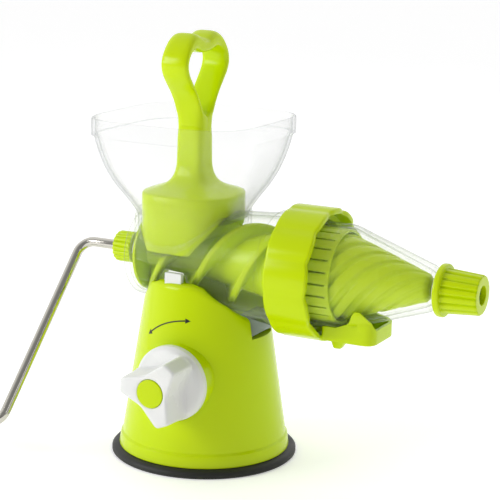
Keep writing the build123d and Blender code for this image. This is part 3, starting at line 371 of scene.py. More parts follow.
def build_materials():
    """All finishes by name."""
    look = bpy.context.scene.juicer_look
    made = {}
    made["lime_abs"] = moulded_abs("lime_abs_polished", "C6DF00", 0.2)
    made["auger_abs"] = moulded_abs("lime_abs_auger", "CBE40A", 0.28)
    made["white_abs"] = moulded_abs("white_abs_polished", "E9EAE8", 0.26)
    # Each clear finish's second colour is a painted grey shade for where its wall is seen edge on.
    made["clear_body"] = clear_san("clear_san_barrel", "CBDDA8", "6A7A70", look.barrel_density, 0.6)
    made["clear_bowl"] = clear_san("clear_san_hopper", "CDD1D3", "7C8487", look.hopper_density,
                                   0.62, 0.2)
    made["clear_block"] = clear_san("clear_san_solid_block", "A9B5AE", "66736E", 0.72, 0.9)

    # Natural rubber, compression moulded: matt black with a dusty bloom and a fine sanded grain.
    made["rubber"] = grained("black_rubber_moulded", {
        "Base Color": srgb("1B1D1A"), "IOR": 1.52, "Specular IOR Level": 0.4},
        0.8, 0.25, 0.55, 0.08)

    # Silicone, press moulded: milky, soft sheen.
    made["silicone"] = grained("silicone_translucent", {
        "Base Color": srgb("DADBD6"), "IOR": 1.43, "Subsurface Weight": 0.3,
        "Subsurface Scale": 0.002}, 1.2, 0.1, 0.42, 0.05)

    # Stainless bar, ground then polished along its length: mirror-like with faint lengthwise lines.
    made["steel"] = grained("stainless_rod_polished", {
        "Base Color": srgb("C9C6BD"), "Metallic": 1.0, "Anisotropic": 0.25},
        0.6, 0.06, 0.15, 0.05, 8.0)

    # Zinc-plated steel: slightly blue, duller than stainless.
    made["zinc"] = grained("zinc_plated_steel", {
        "Base Color": srgb("B9BDC2"), "Metallic": 1.0}, 0.5, 0.1, 0.32, 0.08)

    # Pad-printed ink: flat black, a touch rougher than the plastic below it.
    made["ink"] = grained("black_print_ink", {
        "Base Color": srgb("10130E"), "IOR": 1.5}, 0.4, 0.1, 0.45, 0.05)
    return made


MATERIALS = {}


def finish_in(obj, material):
    """Gives a piece its finish."""
    if not MATERIALS:
        MATERIALS.update(build_materials())
    obj.data.materials.clear()
    obj.data.materials.append(MATERIALS[material])


# ---------------------------------------------------------------- properties
class JuicerLook(bpy.types.PropertyGroup):
    """Sizes and looks of the dressed juicer."""

    base_top_rounding: FloatProperty(
        name="Base top rounding", description="Rounding of the base's upper edge, in mm",
        default=4.5, min=2.0, max=14.0)
    ring_lobes: IntProperty(
        name="Ring lobes", description="Grip lobes round the ring nut", default=12, min=6, max=24)
    ring_valley: FloatProperty(
        name="Ring valley", description="Depth of the valleys between its lobes, in mm",
        default=0.8, min=0.2, max=3.0)
    cone_ribs: IntProperty(
        name="Cone ribs", description="Lengthwise ribs in the clear cone",
        default=12, min=4, max=36)
    flutes: IntProperty(
        name="Auger flutes", description="Flutes round the auger's front cone",
        default=9, min=3, max=16)
    hopper_density: FloatProperty(
        name="Hopper density", description="How much of the hopper's wall shows, seen face on",
        default=0.05, min=0.0, max=1.0, subtype="FACTOR")
    barrel_density: FloatProperty(
        name="Barrel density", description="How much of the barrel's wall shows, seen face on",
        default=0.06, min=0.0, max=1.0, subtype="FACTOR")
    floor_colour: FloatVectorProperty(
        name="Floor colour", description="Colour of the studio floor", subtype="COLOR",
        default=(0.95, 0.95, 0.95), min=0.0, max=1.0)


# --------------------------------------------------------------------- the base
def tapered(at, start, end):
    """Radius at a place on the straight taper between two pairs, carried on past them."""
    (first, radius), (last, last_radius) = start, end
    return radius + (np.asarray(at, float) - first) / (last - first) * (last_radius - radius)


def base_radius(z):
    """Outside radius of the base's cone at a height."""
    return tapered(z, BASE_FOOT, BASE_TOP)


def barrel_radius(x):
    """Outside radius of the barrel at a place along it."""
    return tapered(x, BARREL_REAR, BARREL_FRONT)


def cone_radius(x):
    """Outside radius of the outlet cone, which is a cylinder behind its taper."""
    return np.interp(x, (CONE_REAR[0], CONE_FRONT[0]), (CONE_REAR[1], CONE_FRONT[1]))


def barrel_top(x, y, lift):
    """Height of the barrel's outside, moved out by lift, over a level point."""
    return AXLE_Z + np.sqrt(np.maximum((barrel_radius(x) + lift) ** 2 - y ** 2, 0))


def saddle_height(x, y):
    """Top of the base: the lower of its S-shaped rim and the trough that the barrel lies in."""
    t = np.linspace(0, 1, 80)
    rim_x = 5 * (1 - t) ** 3 + 66 * t * (1 - t) ** 2 + 78 * t ** 2 * (1 - t) + 50 * t ** 3
    rim_z = 128 * (1 - t) ** 3 + 384 * t * (1 - t) ** 2 + 342 * t ** 2 * (1 - t) + 108 * t ** 3
    rim = np.interp(x, rim_x, rim_z)
    reach = barrel_radius(x) + BARREL_PLAY
    trough = AXLE_Z - np.sqrt(np.maximum(reach ** 2 - y ** 2, 0))
    return np.minimum(rim, trough)


class JUICER_OT_base(bpy.types.Operator):
    """Moulded base cone with its skirt, knob boss and saddle"""

    bl_idname = "juicer.base"
    bl_label = "Base"

    def execute(self, context):
        # Columns go round, rows go up the skirt and cone to where the wall meets the top, round the
        # edge over, and cross the top to the middle at the saddle's height.
        rounding = context.scene.juicer_look.base_top_rounding
        angle = circle(360)
        c, s = np.cos(angle), np.sin(angle)
        top = np.full_like(angle, 120.0)
        for _ in range(30):
            r = base_radius(top)
            top = 0.5 * top + 0.5 * saddle_height(r * c, r * s)
        skirt = rounded([(0, 5.6), (60.0, 5.6), (58.7, 13.8), (57.3, 15.2), (57.0, 18.0)],
                        [0, 0.7, 0.5, 0.4, 0], steps=4)
        rows = [(np.full_like(angle, r), np.full_like(angle, z)) for r, z in skirt]
        edge = np.minimum(rounding, top - 100)
        for share in np.linspace(0.03, 1, 40):
            z = 18 + share * (top - edge - 18)
            rows.append((base_radius(z), z))
        wall_r, wall_z = rows[-1]
        land_r = base_radius(top) - edge
        corner_r, corner_z = base_radius(top), top
        land_z = saddle_height(land_r * c, land_r * s)
        for t in np.linspace(0.08, 1, 12):
            r = (1 - t) ** 2 * wall_r + 2 * t * (1 - t) * corner_r + t ** 2 * land_r
            z = (1 - t) ** 2 * wall_z + 2 * t * (1 - t) * corner_z + t ** 2 * land_z
            rows.append((r, z))
        for share in np.linspace(0, 1, 40)[1:]:
            r = land_r * (1 - share)
            rows.append((r, saddle_height(r * c, r * s)))
        grid = np.array([np.stack((r * c, r * s, z), -1) for r, z in rows])
        base = piece("base_shell", [(grid, False, True)], "base", ("base_housing",), sharp=40)
        recess = rounded([(BOSS_FACE, 0), (BOSS_FACE, 26.8), (75, 26.8), (75, 0)], 0)
        cut_away(base, [(turned(recess, (KNOB_X, 0, KNOB_Z), (0, -1, 0), 96), False, True)])
        cut_away(base, closed_box((32.6, -14.4, 89.6), (90, 14.4, 145)))
        finish_in(base, "lime_abs")
        face = rounded([(30, 0), (30, 25.2), (BOSS_FACE, 25.2), (BOSS_FACE, 0)], [0, 0, 1.2, 0])
        boss = piece("knob_boss", [(turned(face, (KNOB_X, 0, KNOB_Z), (0, -1, 0), 128),
                                    False, True)], "base")
        finish_in(boss, "lime_abs")
        return {"FINISHED"}


class JUICER_OT_arrow(bpy.types.Operator):
    """Double-headed arc arrow printed on the base above the knob"""

    bl_idname = "juicer.arrow"
    bl_label = "Printed arrow"

    def execute(self, context):
        # An arc round the knob's axis, 0.8 mm wide, and a triangle at each end, laid on the cone's
        # surface and stood off it by a film of ink.
        centre, radius = np.array((11.0, 58.0)), 46.5
        start, end = math.radians(132), math.radians(93.5)

        def on_cone(along, out):
            x = centre[0] + out * np.cos(along)
            z = centre[1] + out * np.sin(along)
            y = -np.sqrt(np.maximum((base_radius(z) + 0.12) ** 2 - x ** 2, 0))
            return np.stack((x, y, z), -1)

        along = np.linspace(start, end, 60)[:, None]
        band = on_cone(along, radius + np.array((-0.42, 0.0, 0.42))[None])
        grids = [(band, False, False)]
        for tip, way in ((start, 1), (end, -1)):
            reach = np.linspace(0, 1, 8)[:, None]
            side = np.linspace(-1, 1, 7)[None]
            grids.append((on_cone(tip + way * (reach - 0.12) * 0.078 + 0 * side,
                                  radius + side * 1.75 * (1 - reach)), False, False))
        arrow = piece("printed_arrow", grids, "base")
        film = arrow.modifiers.new("film", "SOLIDIFY")
        film.thickness = 0.00006
        film.offset = 0
        finish_in(arrow, "ink")
        return {"FINISHED"}


class JUICER_OT_knob(bpy.types.Operator):
    """White three-lobed knob with the round disc behind it"""

    bl_idname = "juicer.knob"
    bl_label = "Knob"

    def execute(self, context):
        # The outline has blunt tips and hollow sides. Rows go from the disc's back over its rim,
        # in to the outline's foot, up its drafted wall, over the edge and down into the cap's seat.
        corners, radii = [], []
        for lobe in range(3):
            middle = math.radians(53 + 120 * lobe)
            for turn, out, round_off in ((-11.5, 24.3, 3.0), (11.5, 24.3, 3.0), (60, 12.6, 16.0)):
                a = middle + math.radians(turn)
                corners.append((out * math.cos(a), out * math.sin(a)))
                radii.append(round_off)
        outline = rounded(corners, radii, closed=True, steps=12)
        outline = resampled(outline, 240)
        away = outline / np.linalg.norm(outline, axis=1, keepdims=True)
        size = np.linalg.norm(outline, axis=1, keepdims=True)
        rows = [(0 * away, 0.0)]
        rim = rounded([(0.0, 24.5), (0.0, 26.0), (4.4, 26.0), (7.6, 23.4)], [0, 0.8, 1.0, 0])
        rows += [(away * r, d) for d, r in rim]
        foot = np.minimum(size * 1.03 + 1.6, 23.2)
        rows += [(away * foot, 7.8), (away * (size * 1.035 + 0.7), 8.4),
                 (away * (size * 1.033 + 0.2), 9.6)]
        rows += [(outline * (1.033 - 0.033 * t), 9.6 + 19.8 * t) for t in np.linspace(0.1, 1, 8)]
        rows += [(away * (size - 0.35), 30.6), (away * (size - 0.9), 31.25),
                 (away * (size - 1.8), 31.6)]
        rows += [(away * (10.6 + (size - 12.4) * t), 31.6) for t in (0.66, 0.33, 0.0)]
        rows += [(away * 10.1, 31.4), (away * 9.9, 31.0), (away * 9.9, 29.0), (away * 0, 29.0)]
        grid = np.array([np.stack((KNOB_X + p[:, 0], np.full(len(p), KNOB_BACK - d),
                                   KNOB_Z + p[:, 1]), -1) for p, d in rows])
        knob = piece("knob_shell", [(grid, False, True)], "knob_body", ("knob",), sharp=50)
        finish_in(knob, "white_abs")
        cap = piece("knob_button", [(turned(
            rounded([(29.0, 0), (29.0, 9.7), (32.1, 9.7), (32.3, 0)], [0, 0, 0.7, 0]),
            (KNOB_X, KNOB_BACK, KNOB_Z), (0, -1, 0), 96), False, True)], "knob_body",
            ("knob_cap",))
        finish_in(cap, "lime_abs")
        return {"FINISHED"}


# ------------------------------------------------------------- barrel and screw
class JUICER_OT_barrel(bpy.types.Operator):
    """Clear barrel with its collar, flange, thread and lug"""

    bl_idname = "juicer.barrel"
    bl_label = "Barrel"

    def execute(self, context):
        # A closed profile goes round the axis. Eight ribs run along the bore: each is a narrow bell
        # on the inner radius.
        outer = rounded([(-55.0, 9.4), (-55.0, 13.0), (-50.0, 13.0), BARREL_REAR,
                         BARREL_FRONT, (56.0, 39.3), (62.0, 39.3), (62.0, 38.3), (78.0, 38.3)],
                        [0, 1.0, 0.8, 4.5, 0.8, 0.8, 0.6, 0.4, 0], steps=6)
        inner = rounded([(78.0, 35.1), (56.0, 35.1), (-46.5, 28.9), (-46.5, 9.4)],
                        [0, 1.5, 3.0, 0], steps=6)
        inner = np.concatenate([np.linspace(inner[i], inner[i + 1], 3)[:-1]
                                for i in range(len(inner) - 1)] + [inner[-1:]])
        turns = 320
        angle = circle(turns)
        rib = np.exp(-(np.sin(4 * (angle + 0.2)) / 0.14) ** 2)
        profile = np.concatenate((outer, inner))
        depth = np.zeros(len(profile))
        depth[len(outer):] = np.where(inner[:, 1] > 26, 0.7, 0.0)
        radius = profile[:, 1:2] - depth[:, None] * rib[None]
        grid = round_axle(profile[:, :1], radius, turns)
        barrel = piece("barrel_shell", [(grid, True, True)], "base", ("barrel",))
        loop = np.stack(neck_loop(angle, 33.8), -1)
        middle = np.broadcast_to(np.array((NECK_X, 0.0)), loop.shape)
        column = np.array([np.concatenate((p, np.full((turns, 1), z)), 1)
                           for p, z in ((middle, 145), (loop, 145), (loop, 190), (middle, 190))])
        cut_away(barrel, [(column, False, True)])
        finish_in(barrel, "clear_body")

        # The collar is the neck's outline between the barrel's skin and a belt 4.9 mm above it.
        rows = []
        for half, lift, floor in ((37.6, -1.4, 137.5), (37.6, 4.4, 137.5), (37.2, 4.9, 137.5),
                                  (35.9, 4.9, 137.5), (35.5, 4.4, 137.5), (35.5, -1.4, 142.0)):
            x, y = neck_loop(angle, half)
            top = np.clip(barrel_top(x, y, lift), floor, 172.5 if lift > 0 else 171.0)
            rows.append(np.stack((x, y, top), -1))
        collar = piece("barrel_collar", [(np.array(rows), True, True)], "base")
        finish_in(collar, "clear_body")

        lug = np.array(((33.0, 105.5), (57.0, 101.9), (57.0, 100.3), (41.0, 90.0), (33.0, 90.0)))
        lug = rounded(lug, [0, 0, 1.2, 1.2, 0], closed=True, steps=3)
        middle = lug.mean(0)
        sides = []
        for y, shrink in ((-14, 0.0), (-14, 0.985), (-13.7, 1.0),
                          (13.7, 1.0), (14, 0.985), (14, 0.0)):
            p = middle + (lug - middle) * shrink
            sides.append(np.stack((p[:, 0], np.full(len(p), y), p[:, 1]), -1))
        lug_piece = piece("barrel_lug", [(np.array(sides), False, True)], "base")
        finish_in(lug_piece, "clear_block")
        return {"FINISHED"}


class JUICER_OT_auger(bpy.types.Operator):
    """Green auger: rear disc, three screw flights, drum and fluted front cone"""

    bl_idname = "juicer.auger"
    bl_label = "Auger"

    def execute(self, context):
        # Radius = core + (flight - core) times a flat-topped bell of the angle round the axis less
        # the screw's own angle; at the front the same angle drives shallow flutes.
        turns = 288
        flights, lead, flute_lead = 3, 96.0, 14.0
        screw_start, nose_start, nose_end = -41.5, 62.0, 164.0
        look = context.scene.juicer_look
        angle = circle(turns)[None]
        x = np.linspace(screw_start, nose_start, 150)[:, None]
        core = np.interp(x, (screw_start, 0, 45, nose_start), (12.0, 14.0, 21.0, 25.5))
        flight = np.full_like(x, 28.2)
        turn = flights * (angle + 2 * np.pi * x / lead) + 0.9
        bell = 1 / (1 + np.exp(-(np.cos(turn) - 0.80) * 34))
        screw = core + (flight - core) * bell
        nose_x = np.linspace(nose_start, nose_end, 150)[:, None]
        nose = np.interp(nose_x, (nose_start, 76, 100, 110, 130, nose_end),
                         (25.5, 28.4, 29.4, 27.8, 21.2, 9.4))
        wind = look.flutes * angle + 2 * np.pi * (nose_x - nose_start) / flute_lead
        ridge = 1 / (1 + np.exp(-(np.cos(wind) + 0.45) * 9))
        fade = np.clip((nose_x - 74) / 10, 0, 1)
        nose = nose - fade * 1.9 * (1 - ridge) * nose / 29
        rear = rounded([(-43.9, 6.6), (-43.9, 27.5), (-41.7, 27.5), (-41.7, 12.0)],
                       [0, 0.6, 0.6, 0])
        tip = np.array(((166.2, 7.0), (167.0, 4.0), (167.0, 0.0)))
        along = np.concatenate((rear[:, :1], x, nose_x, tip[:, :1]))
        radius = np.concatenate((np.broadcast_to(rear[:, 1:], (len(rear), turns)), screw, nose,
                                 np.broadcast_to(tip[:, 1:], (len(tip), turns))))
        grid = round_axle(along, radius, turns)
        auger = piece("auger_screw", [(grid, False, True)], "drive", ("auger",), sharp=60)
        finish_in(auger, "auger_abs")
        return {"FINISHED"}


class JUICER_OT_outlet(bpy.types.Operator):
    """Clear outlet cone with its flange, ribs and spigot"""

    bl_idname = "juicer.outlet"
    bl_label = "Outlet cone"

    def execute(self, context):
        # A closed wall profile round the axis; the outside has flats between lengthwise ribs and
        # the inside narrow bells.
        turns = 360
        ribs = context.scene.juicer_look.cone_ribs
        angle = circle(turns)
        outer = rounded([(80, 33.4), (80, 39.6), (84, 39.6), (84, 35.8), CONE_REAR,
                         CONE_FRONT, (168, 11.0), (190, 11.0), (190, 8.8)],
                        [0, 0.6, 0.6, 0.5, 14, 2.5, 0.5, 0.6, 0.4], steps=8)
        inner = rounded([(169, 10.2), (164, 13.0), (107.4, 33.4)], [0, 3, 14], steps=8)
        dense = np.concatenate([np.linspace(inner[i], inner[i + 1], 6)[:-1]
                                for i in range(len(inner) - 1)] + [inner[-1:]])
        profile = np.concatenate((outer, dense))
        share = np.clip((profile[:, 1] - 12) / 20, 0, 1)
        outside = np.zeros(len(profile))
        on_body = (outer[:, 0] >= 86) & (outer[:, 0] < 168)
        outside[:len(outer)] = np.where(on_body, share[:len(outer)], 0)
        inside = np.zeros(len(profile))
        inside[len(outer):] = share[len(outer):]
        facet = 1 - np.abs(np.cos(ribs * angle / 2))
        bell = np.exp(-(np.sin(ribs * angle / 2 + np.pi / 2) / 0.16) ** 2)
        radius = (profile[:, 1:2] - outside[:, None] * 0.55 * facet[None]
                  - inside[:, None] * 0.7 * bell[None])
        grid = round_axle(profile[:, :1], radius, turns)
        cone = piece("cone_shell", [(grid, True, True)], "front", ("outlet_cone",))
        finish_in(cone, "clear_body")
        return {"FINISHED"}


class JUICER_OT_ring(bpy.types.Operator):
    """Lobed green ring nut"""

    bl_idname = "juicer.ring"
    bl_label = "Ring nut"

    def execute(self, context):
        # Closed profile round the axis. Lobes are the absolute cosine, so that they are broad and
        # their valleys narrow; the front edge goes in and out with them.
        look = context.scene.juicer_look
        turns = 432
        angle = circle(turns)[None]
        lobe = 1 - np.exp(-(np.cos(look.ring_lobes * angle / 2 + 0.6) / 0.55) ** 2)
        shape = rounded([(65, 40.2), (65, 45.0), (96.6, 45.0), (96.6, 41.0), (88.0, 40.3),
                         (88.0, 36.3), (84.6, 36.3), (84.6, 40.2)],
                        [0.6, 3.2, 3.4, 1.0, 0.5, 0.5, 0.4, 0.4], closed=True, steps=8)
        waviness = np.clip((shape[:, 1:2] - 41.0) / 2.5, 0, 1)
        front = np.clip((shape[:, :1] - 90) / 5, 0, 1)
        radius = shape[:, 1:2] - look.ring_valley * (1 - lobe) * waviness
        along = shape[:, :1] - 1.5 * (1 - lobe) * front
        grid = round_axle(along, radius, turns)
        ring = piece("ring_shell", [(grid, True, True)], "ring", ("ring_nut",), sharp=40)
        finish_in(ring, "lime_abs")
        return {"FINISHED"}


class JUICER_OT_cap(bpy.types.Operator):
    """Fluted green pressure cap with its outlet hole"""

    bl_idname = "juicer.cap"
    bl_label = "Outlet cap"

    def execute(self, context):
        # Closed profile round the axis; shallow flutes on the body only.
        turns = 288
        angle = circle(turns)[None]
        shape = rounded([(172.6, 11.3), (172.6, 17.6), (177.2, 17.6), (177.2, 14.9), (201.5, 13.2),
                         (201.5, 6.4), (197.5, 6.4), (197.5, 11.3)],
                        [0.4, 1.9, 1.9, 0.6, 1.3, 0.5, 0.3, 0.3], closed=True, steps=6)
        body = np.where((shape[:, :1] > 177.3) & (shape[:, 1:2] > 12.4), 1, 0)
        flute = np.exp(-(np.sin(8 * angle) / 0.42) ** 2)
        radius = shape[:, 1:2] - 1.3 * flute * body
        grid = round_axle(shape[:, :1], radius, turns)
        cap = piece("cap_shell", [(grid, True, True)], "cap", ("outlet_cap",), sharp=40)
        finish_in(cap, "lime_abs")
        return {"FINISHED"}


class JUICER_OT_spout(bpy.types.Operator):
    """Green juice trough with its thumb ear and pouring tip"""

    bl_idname = "juicer.spout"
    bl_label = "Juice spout"

    def execute(self, context):
        # Columns go round the plan, rows go from the middle of the underside out, up the wall to an
        # edge whose height depends on the place, over it, down inside and in across the floor.
        plan = rounded([(97.4, -19.5), (134.5, -19.5), (134.5, 19.5), (97.4, 19.5)],
                       [2.0, 9.0, 9.0, 2.0], closed=True, steps=14)
        plan = resampled(plan, 320)
        middle = np.array((116.0, 0.0))
        step = np.roll(plan, -1, axis=0) - np.roll(plan, 1, axis=0)
        inwards = np.stack((-step[:, 1], step[:, 0]), -1)
        inwards /= np.linalg.norm(inwards, axis=1, keepdims=True)

        def edge(p):
            x, y = p[:, 0], p[:, 1]
            low = np.interp(x, (97, 112, 122, 134.5), (113.8, 113.2, 111.8, 108.8))
            ear = 12.6 * np.exp(-(np.abs(x - 126.6) / 6.2) ** 2.6) * np.clip((-y - 12) / 5, 0, 1)
            cone = cone_radius(x) + 0.4
            under = AXLE_Z - np.sqrt(np.maximum(cone ** 2 - y ** 2, 0))
            return np.where(ear > 0.5, low + ear, np.minimum(low, under))

        def beside_cone(p, z, gap):
            """Moves near-side points out to clear the cone at their height."""
            cone = cone_radius(p[:, 0]) + gap
            clear = np.sqrt(np.maximum(cone ** 2 - (AXLE_Z - z) ** 2, 0))
            near = p[:, 1] < -12
            y = np.where(near & (z > 112.5), -np.maximum(-p[:, 1], clear), p[:, 1])
            return np.stack((p[:, 0], y), -1)

        def row(p, z):
            return np.stack((p[:, 0], p[:, 1], np.broadcast_to(z, (len(p),))), -1)

        wall, under_z, wall_z, floor_z = 2.2, 98.6, 99.7, 100.8
        thin = plan + inwards * wall
        top = edge(plan)
        rows = [row(middle + 0 * plan, under_z), row(middle + (plan - middle) * 0.5, under_z),
                row(plan + inwards * 1.0, under_z),
                row(plan + inwards * 0.25, under_z + 0.3), row(plan, wall_z)]
        outer_z = [wall_z + (top - 0.7 - wall_z) * t for t in (0.3, 0.5, 0.6, 0.7, 0.8, 0.9, 1.0)]
        rows += [row(beside_cone(plan, z, 2.9), z) for z in outer_z]
        rows += [row(beside_cone(plan, top, 2.5), top - 0.1),
                 row(beside_cone(plan + inwards * 1.1, top, 1.8), top + 0.05),
                 row(beside_cone(thin, top, 1.0), top - 0.1)]
        rows += [row(beside_cone(thin, z, 0.6), z) for z in outer_z[::-1]]
        rows += [row(thin, floor_z + 0.6), row(thin + inwards * 0.6, floor_z),
                 row(middle + 0 * thin, floor_z)]
        tip = []
        turn = circle(40)
        for x, half, z in ((103.5, 0.0, 99.4), (103.5, 7.4, 99.4), (103.5, 7.3, 98.6),
                           (101.6, 3.2, 90.0), (101.5, 2.7, 89.3), (101.5, 1.9, 89.3),
                           (101.8, 1.9, 98.0), (101.8, 0.0, 98.0)):
            r = squircle(turn, half, 3.5) if half else 0 * turn
            tip.append(np.stack((x + r * np.cos(turn), r * np.sin(turn), np.full(40, z)), -1))
        spout = piece("spout_shell", [(np.array(rows), False, True), (np.array(tip), False, True)],
                      "front", ("juice_spout",), sharp=45)
        finish_in(spout, "lime_abs")
        return {"FINISHED"}


# ------------------------------------------------------------ hopper and plunger
class JUICER_OT_hopper(bpy.types.Operator):
    """Clear square hopper"""

    bl_idname = "juicer.hopper"
    bl_label = "Hopper"

    def execute(self, context):
        # Columns go round; each row is a squircle whose half width and power change smoothly
        # with height. The outside goes up from the saddle edge to the rim, and the inside comes
        # back down.
        angle = circle(400)
        side = smooth_through([(168, 35.2, NECK_POWER), (173, 37.0, 2.85), (181, 41.8, 3.0),
                               (191, 48.2, 3.25), (202, 53.0, 3.65), (214, 56.7, 3.85),
                               (225, 59.0, 4.05)], 6)
        band = np.array([(225.3, 60.0, 4.2), (226.4, 60.0, 4.2), (231, 60.0, 4.2),
                         (236.2, 60.0, 4.2), (237.0, 59.4, 4.2)])
        outer = np.concatenate((side, band))
        inner = outer[::-1].copy()
        inner[:, 1] -= np.where(inner[:, 0] > 225, 2.0, 1.9)
        inner[0, 1] = 58.6
        inner[-1, 1] = 33.4

        def saddle_ring(half, lift):
            x, y = neck_loop(angle, half)
            return np.stack((x, y, np.clip(barrel_top(x, y, 2.35), 142.4, 167.5) + lift), -1)

        rows = [saddle_ring(33.6, 0.0), saddle_ring(35.0, 0.0), saddle_ring(35.2, 0.25)]
        rows += [level_loop(angle, *level) for level in outer]
        rows += [level_loop(angle, *level) for level in inner]
        rows.append(saddle_ring(33.4, 0.25))
        hopper = piece("hopper_shell", [(np.array(rows), True, True)], "hopper_body",
                       ("hopper",), sharp=50)
        finish_in(hopper, "clear_bowl")
        return {"FINISHED"}


class JUICER_OT_plunger(bpy.types.Operator):
    """Green plunger: square foot with a saddle underneath, stem and loop handle"""

    bl_idname = "juicer.plunger"
    bl_label = "Plunger"

    def execute(self, context):
        # Foot and stem: squircle rows that narrow and rise. Its underside follows the bore.
        angle = circle(320)

        def under(half, lift=0.0):
            x, y = neck_loop(angle, half)
            return np.stack((x, y, np.maximum(barrel_top(x, y, -1.9), 145.8) + lift), -1)

        rows = [under(h) for h in np.linspace(0, 32.4, 14)] + [under(32.9, 0.5), under(33.0, 1.4)]
        rows += [level_loop(angle, z, 33.0, NECK_POWER) for z in (176, 183.9)]
        top = smooth_through([(185.1, 32.3, NECK_POWER), (186.2, 29.6, 2.8), (188.4, 22.6, 2.9),
                              (191.6, 16.4, 3.1), (196.4, 12.6, 3.5), (203.0, 10.6, 4.2),
                              (211.0, 10.05, 5.0)], 6)
        rows += [level_loop(angle, *level) for level in top]
        rows += [level_loop(angle, *level) for level in (
            (222, 10.0, 4.6), (230, 9.9, 3.6), (235, 9.4, 3.2), (237.5, 7.6, 3.0),
            (237.6, 0.001, 2.0))]
        # Handle: a ribbon that starts and ends inside the stem. Outer and inner edges are given
        # in pairs for one half and mirrored; the section between a pair is a squircle 20 mm wide.
        outer = [(9.0, 224.0), (9.7, 230.0), (10.0, 236.0), (10.9, 241.5), (13.4, 247.5),
                 (18.6, 254.8), (24.6, 261.0), (29.3, 267.0), (31.4, 273.0), (30.2, 279.5),
                 (26.0, 286.0), (20.4, 291.6), (14.2, 294.4), (8.0, 292.8), (3.4, 290.4),
                 (0.0, 289.8)]
        inner = [(-6.0, 229.0), (-5.5, 233.0), (-3.0, 236.8), (3.6, 239.6), (8.0, 246.0),
                 (12.6, 252.9), (18.0, 260.4), (22.9, 266.6), (25.3, 272.2), (24.5, 277.0),
                 (22.0, 280.4), (18.2, 282.4), (13.2, 282.6), (8.0, 281.4), (3.6, 280.6),
                 (0.0, 280.4)]
        pairs = np.concatenate((outer, inner), 1)
        pairs = smooth_through(pairs, 6)
        left = pairs[:-1].copy() * (-1, 1, -1, 1)
        pairs = np.concatenate((pairs, left[::-1]))
        centre = 0.5 * (pairs[:, :2] + pairs[:, 2:])
        reach = 0.5 * (pairs[:, :2] - pairs[:, 2:])
        section = circle(56)
        r = squircle(section, 1.0, 3.2)
        across, out = r * np.cos(section), r * np.sin(section)
        yz = centre[:, None] + out[None, :, None] * reach[:, None]
        x = np.broadcast_to(NECK_X + 10 * across, yz.shape[:2])
        loop = np.stack((x, yz[..., 0], yz[..., 1]), -1)
        ends = [np.broadcast_to(loop[i].mean(0), loop[i].shape)[None] for i in (0, -1)]
        loop = np.concatenate((ends[0], loop, ends[1]))
        plunger = piece("plunger_shell", [(np.array(rows), False, True), (loop, False, True)],
                        "plunger_body", ("plunger",), sharp=50)
        finish_in(plunger, "lime_abs")
        return {"FINISHED"}


# ----------------------------------------------------------------- small pieces
class JUICER_OT_crank(bpy.types.Operator):
    """Ribbed crank nut, bent rod, grip and the drive shaft"""

    bl_idname = "juicer.crank"
    bl_label = "Crank"

    def execute(self, context):
        # Nut: closed profile round the axis with rounded ribs.
        turns = 288
        angle = circle(turns)[None]
        shape = rounded([(-71, 3.6), (-71, 10.9), (-57, 10.9), (-57, 6.6), (-68.8, 6.6),
                         (-69, 3.6)], [0.2, 1.6, 0.8, 0.3, 0.2, 0.1], closed=True, steps=5)
        rib = np.abs(np.cos(9 * angle)) ** 0.6
        radius = shape[:, 1:2] - 1.1 * (1 - rib) * (shape[:, 1:2] > 9.5)
        nut = piece("nut_shell", [(round_axle(shape[:, :1], radius, turns), True, True)], "drive",
                    ("crank_nut",), sharp=50)
        finish_in(nut, "lime_abs")
        for node, material, slot in (("crank_rod", "steel", "steel_polished"),
                                     ("auger_drive", "steel", "steel_polished"),
                                     ("handle_grip", "white_abs", "abs_white"),
                                     ("grip_cap", "white_abs", "abs_white")):
            finish_in(smoothed_node(node), material)
        return {"FINISHED"}


class JUICER_OT_small_pieces(bpy.types.Operator):
    """Pad, latch, seals, screws, bushes and the parts inside"""

    bl_idname = "juicer.small_pieces"
    bl_label = "Small pieces"

    def execute(self, context):
        for node, material, slot in (
                ("suction_pad", "rubber", "rubber_black"),
                ("barrel_latch", "white_abs", "abs_white"),
                ("bottom_plate", "white_abs", "abs_white"),
                ("plate_screws", "zinc", "steel_zinc"),
                ("lift_stem", "white_abs", "abs_white"),
                ("cam_shaft", "white_abs", "abs_white"),
                ("shaft_bush", "white_abs", "abs_white"),
                ("knob_screw", "zinc", "steel_zinc"),
                ("latch_spring", "zinc", "steel_zinc"),
                ("rear_bush", "white_abs", "abs_white"),
                ("shaft_seal", "silicone", "seal_silicone"),
                ("juice_screen", "auger_abs", "auger_green"),
                ("cone_gasket", "silicone", "seal_silicone"),
                ("cap_seal", "silicone", "seal_silicone")):
            finish_in(smoothed_node(node), material)
        return {"FINISHED"}


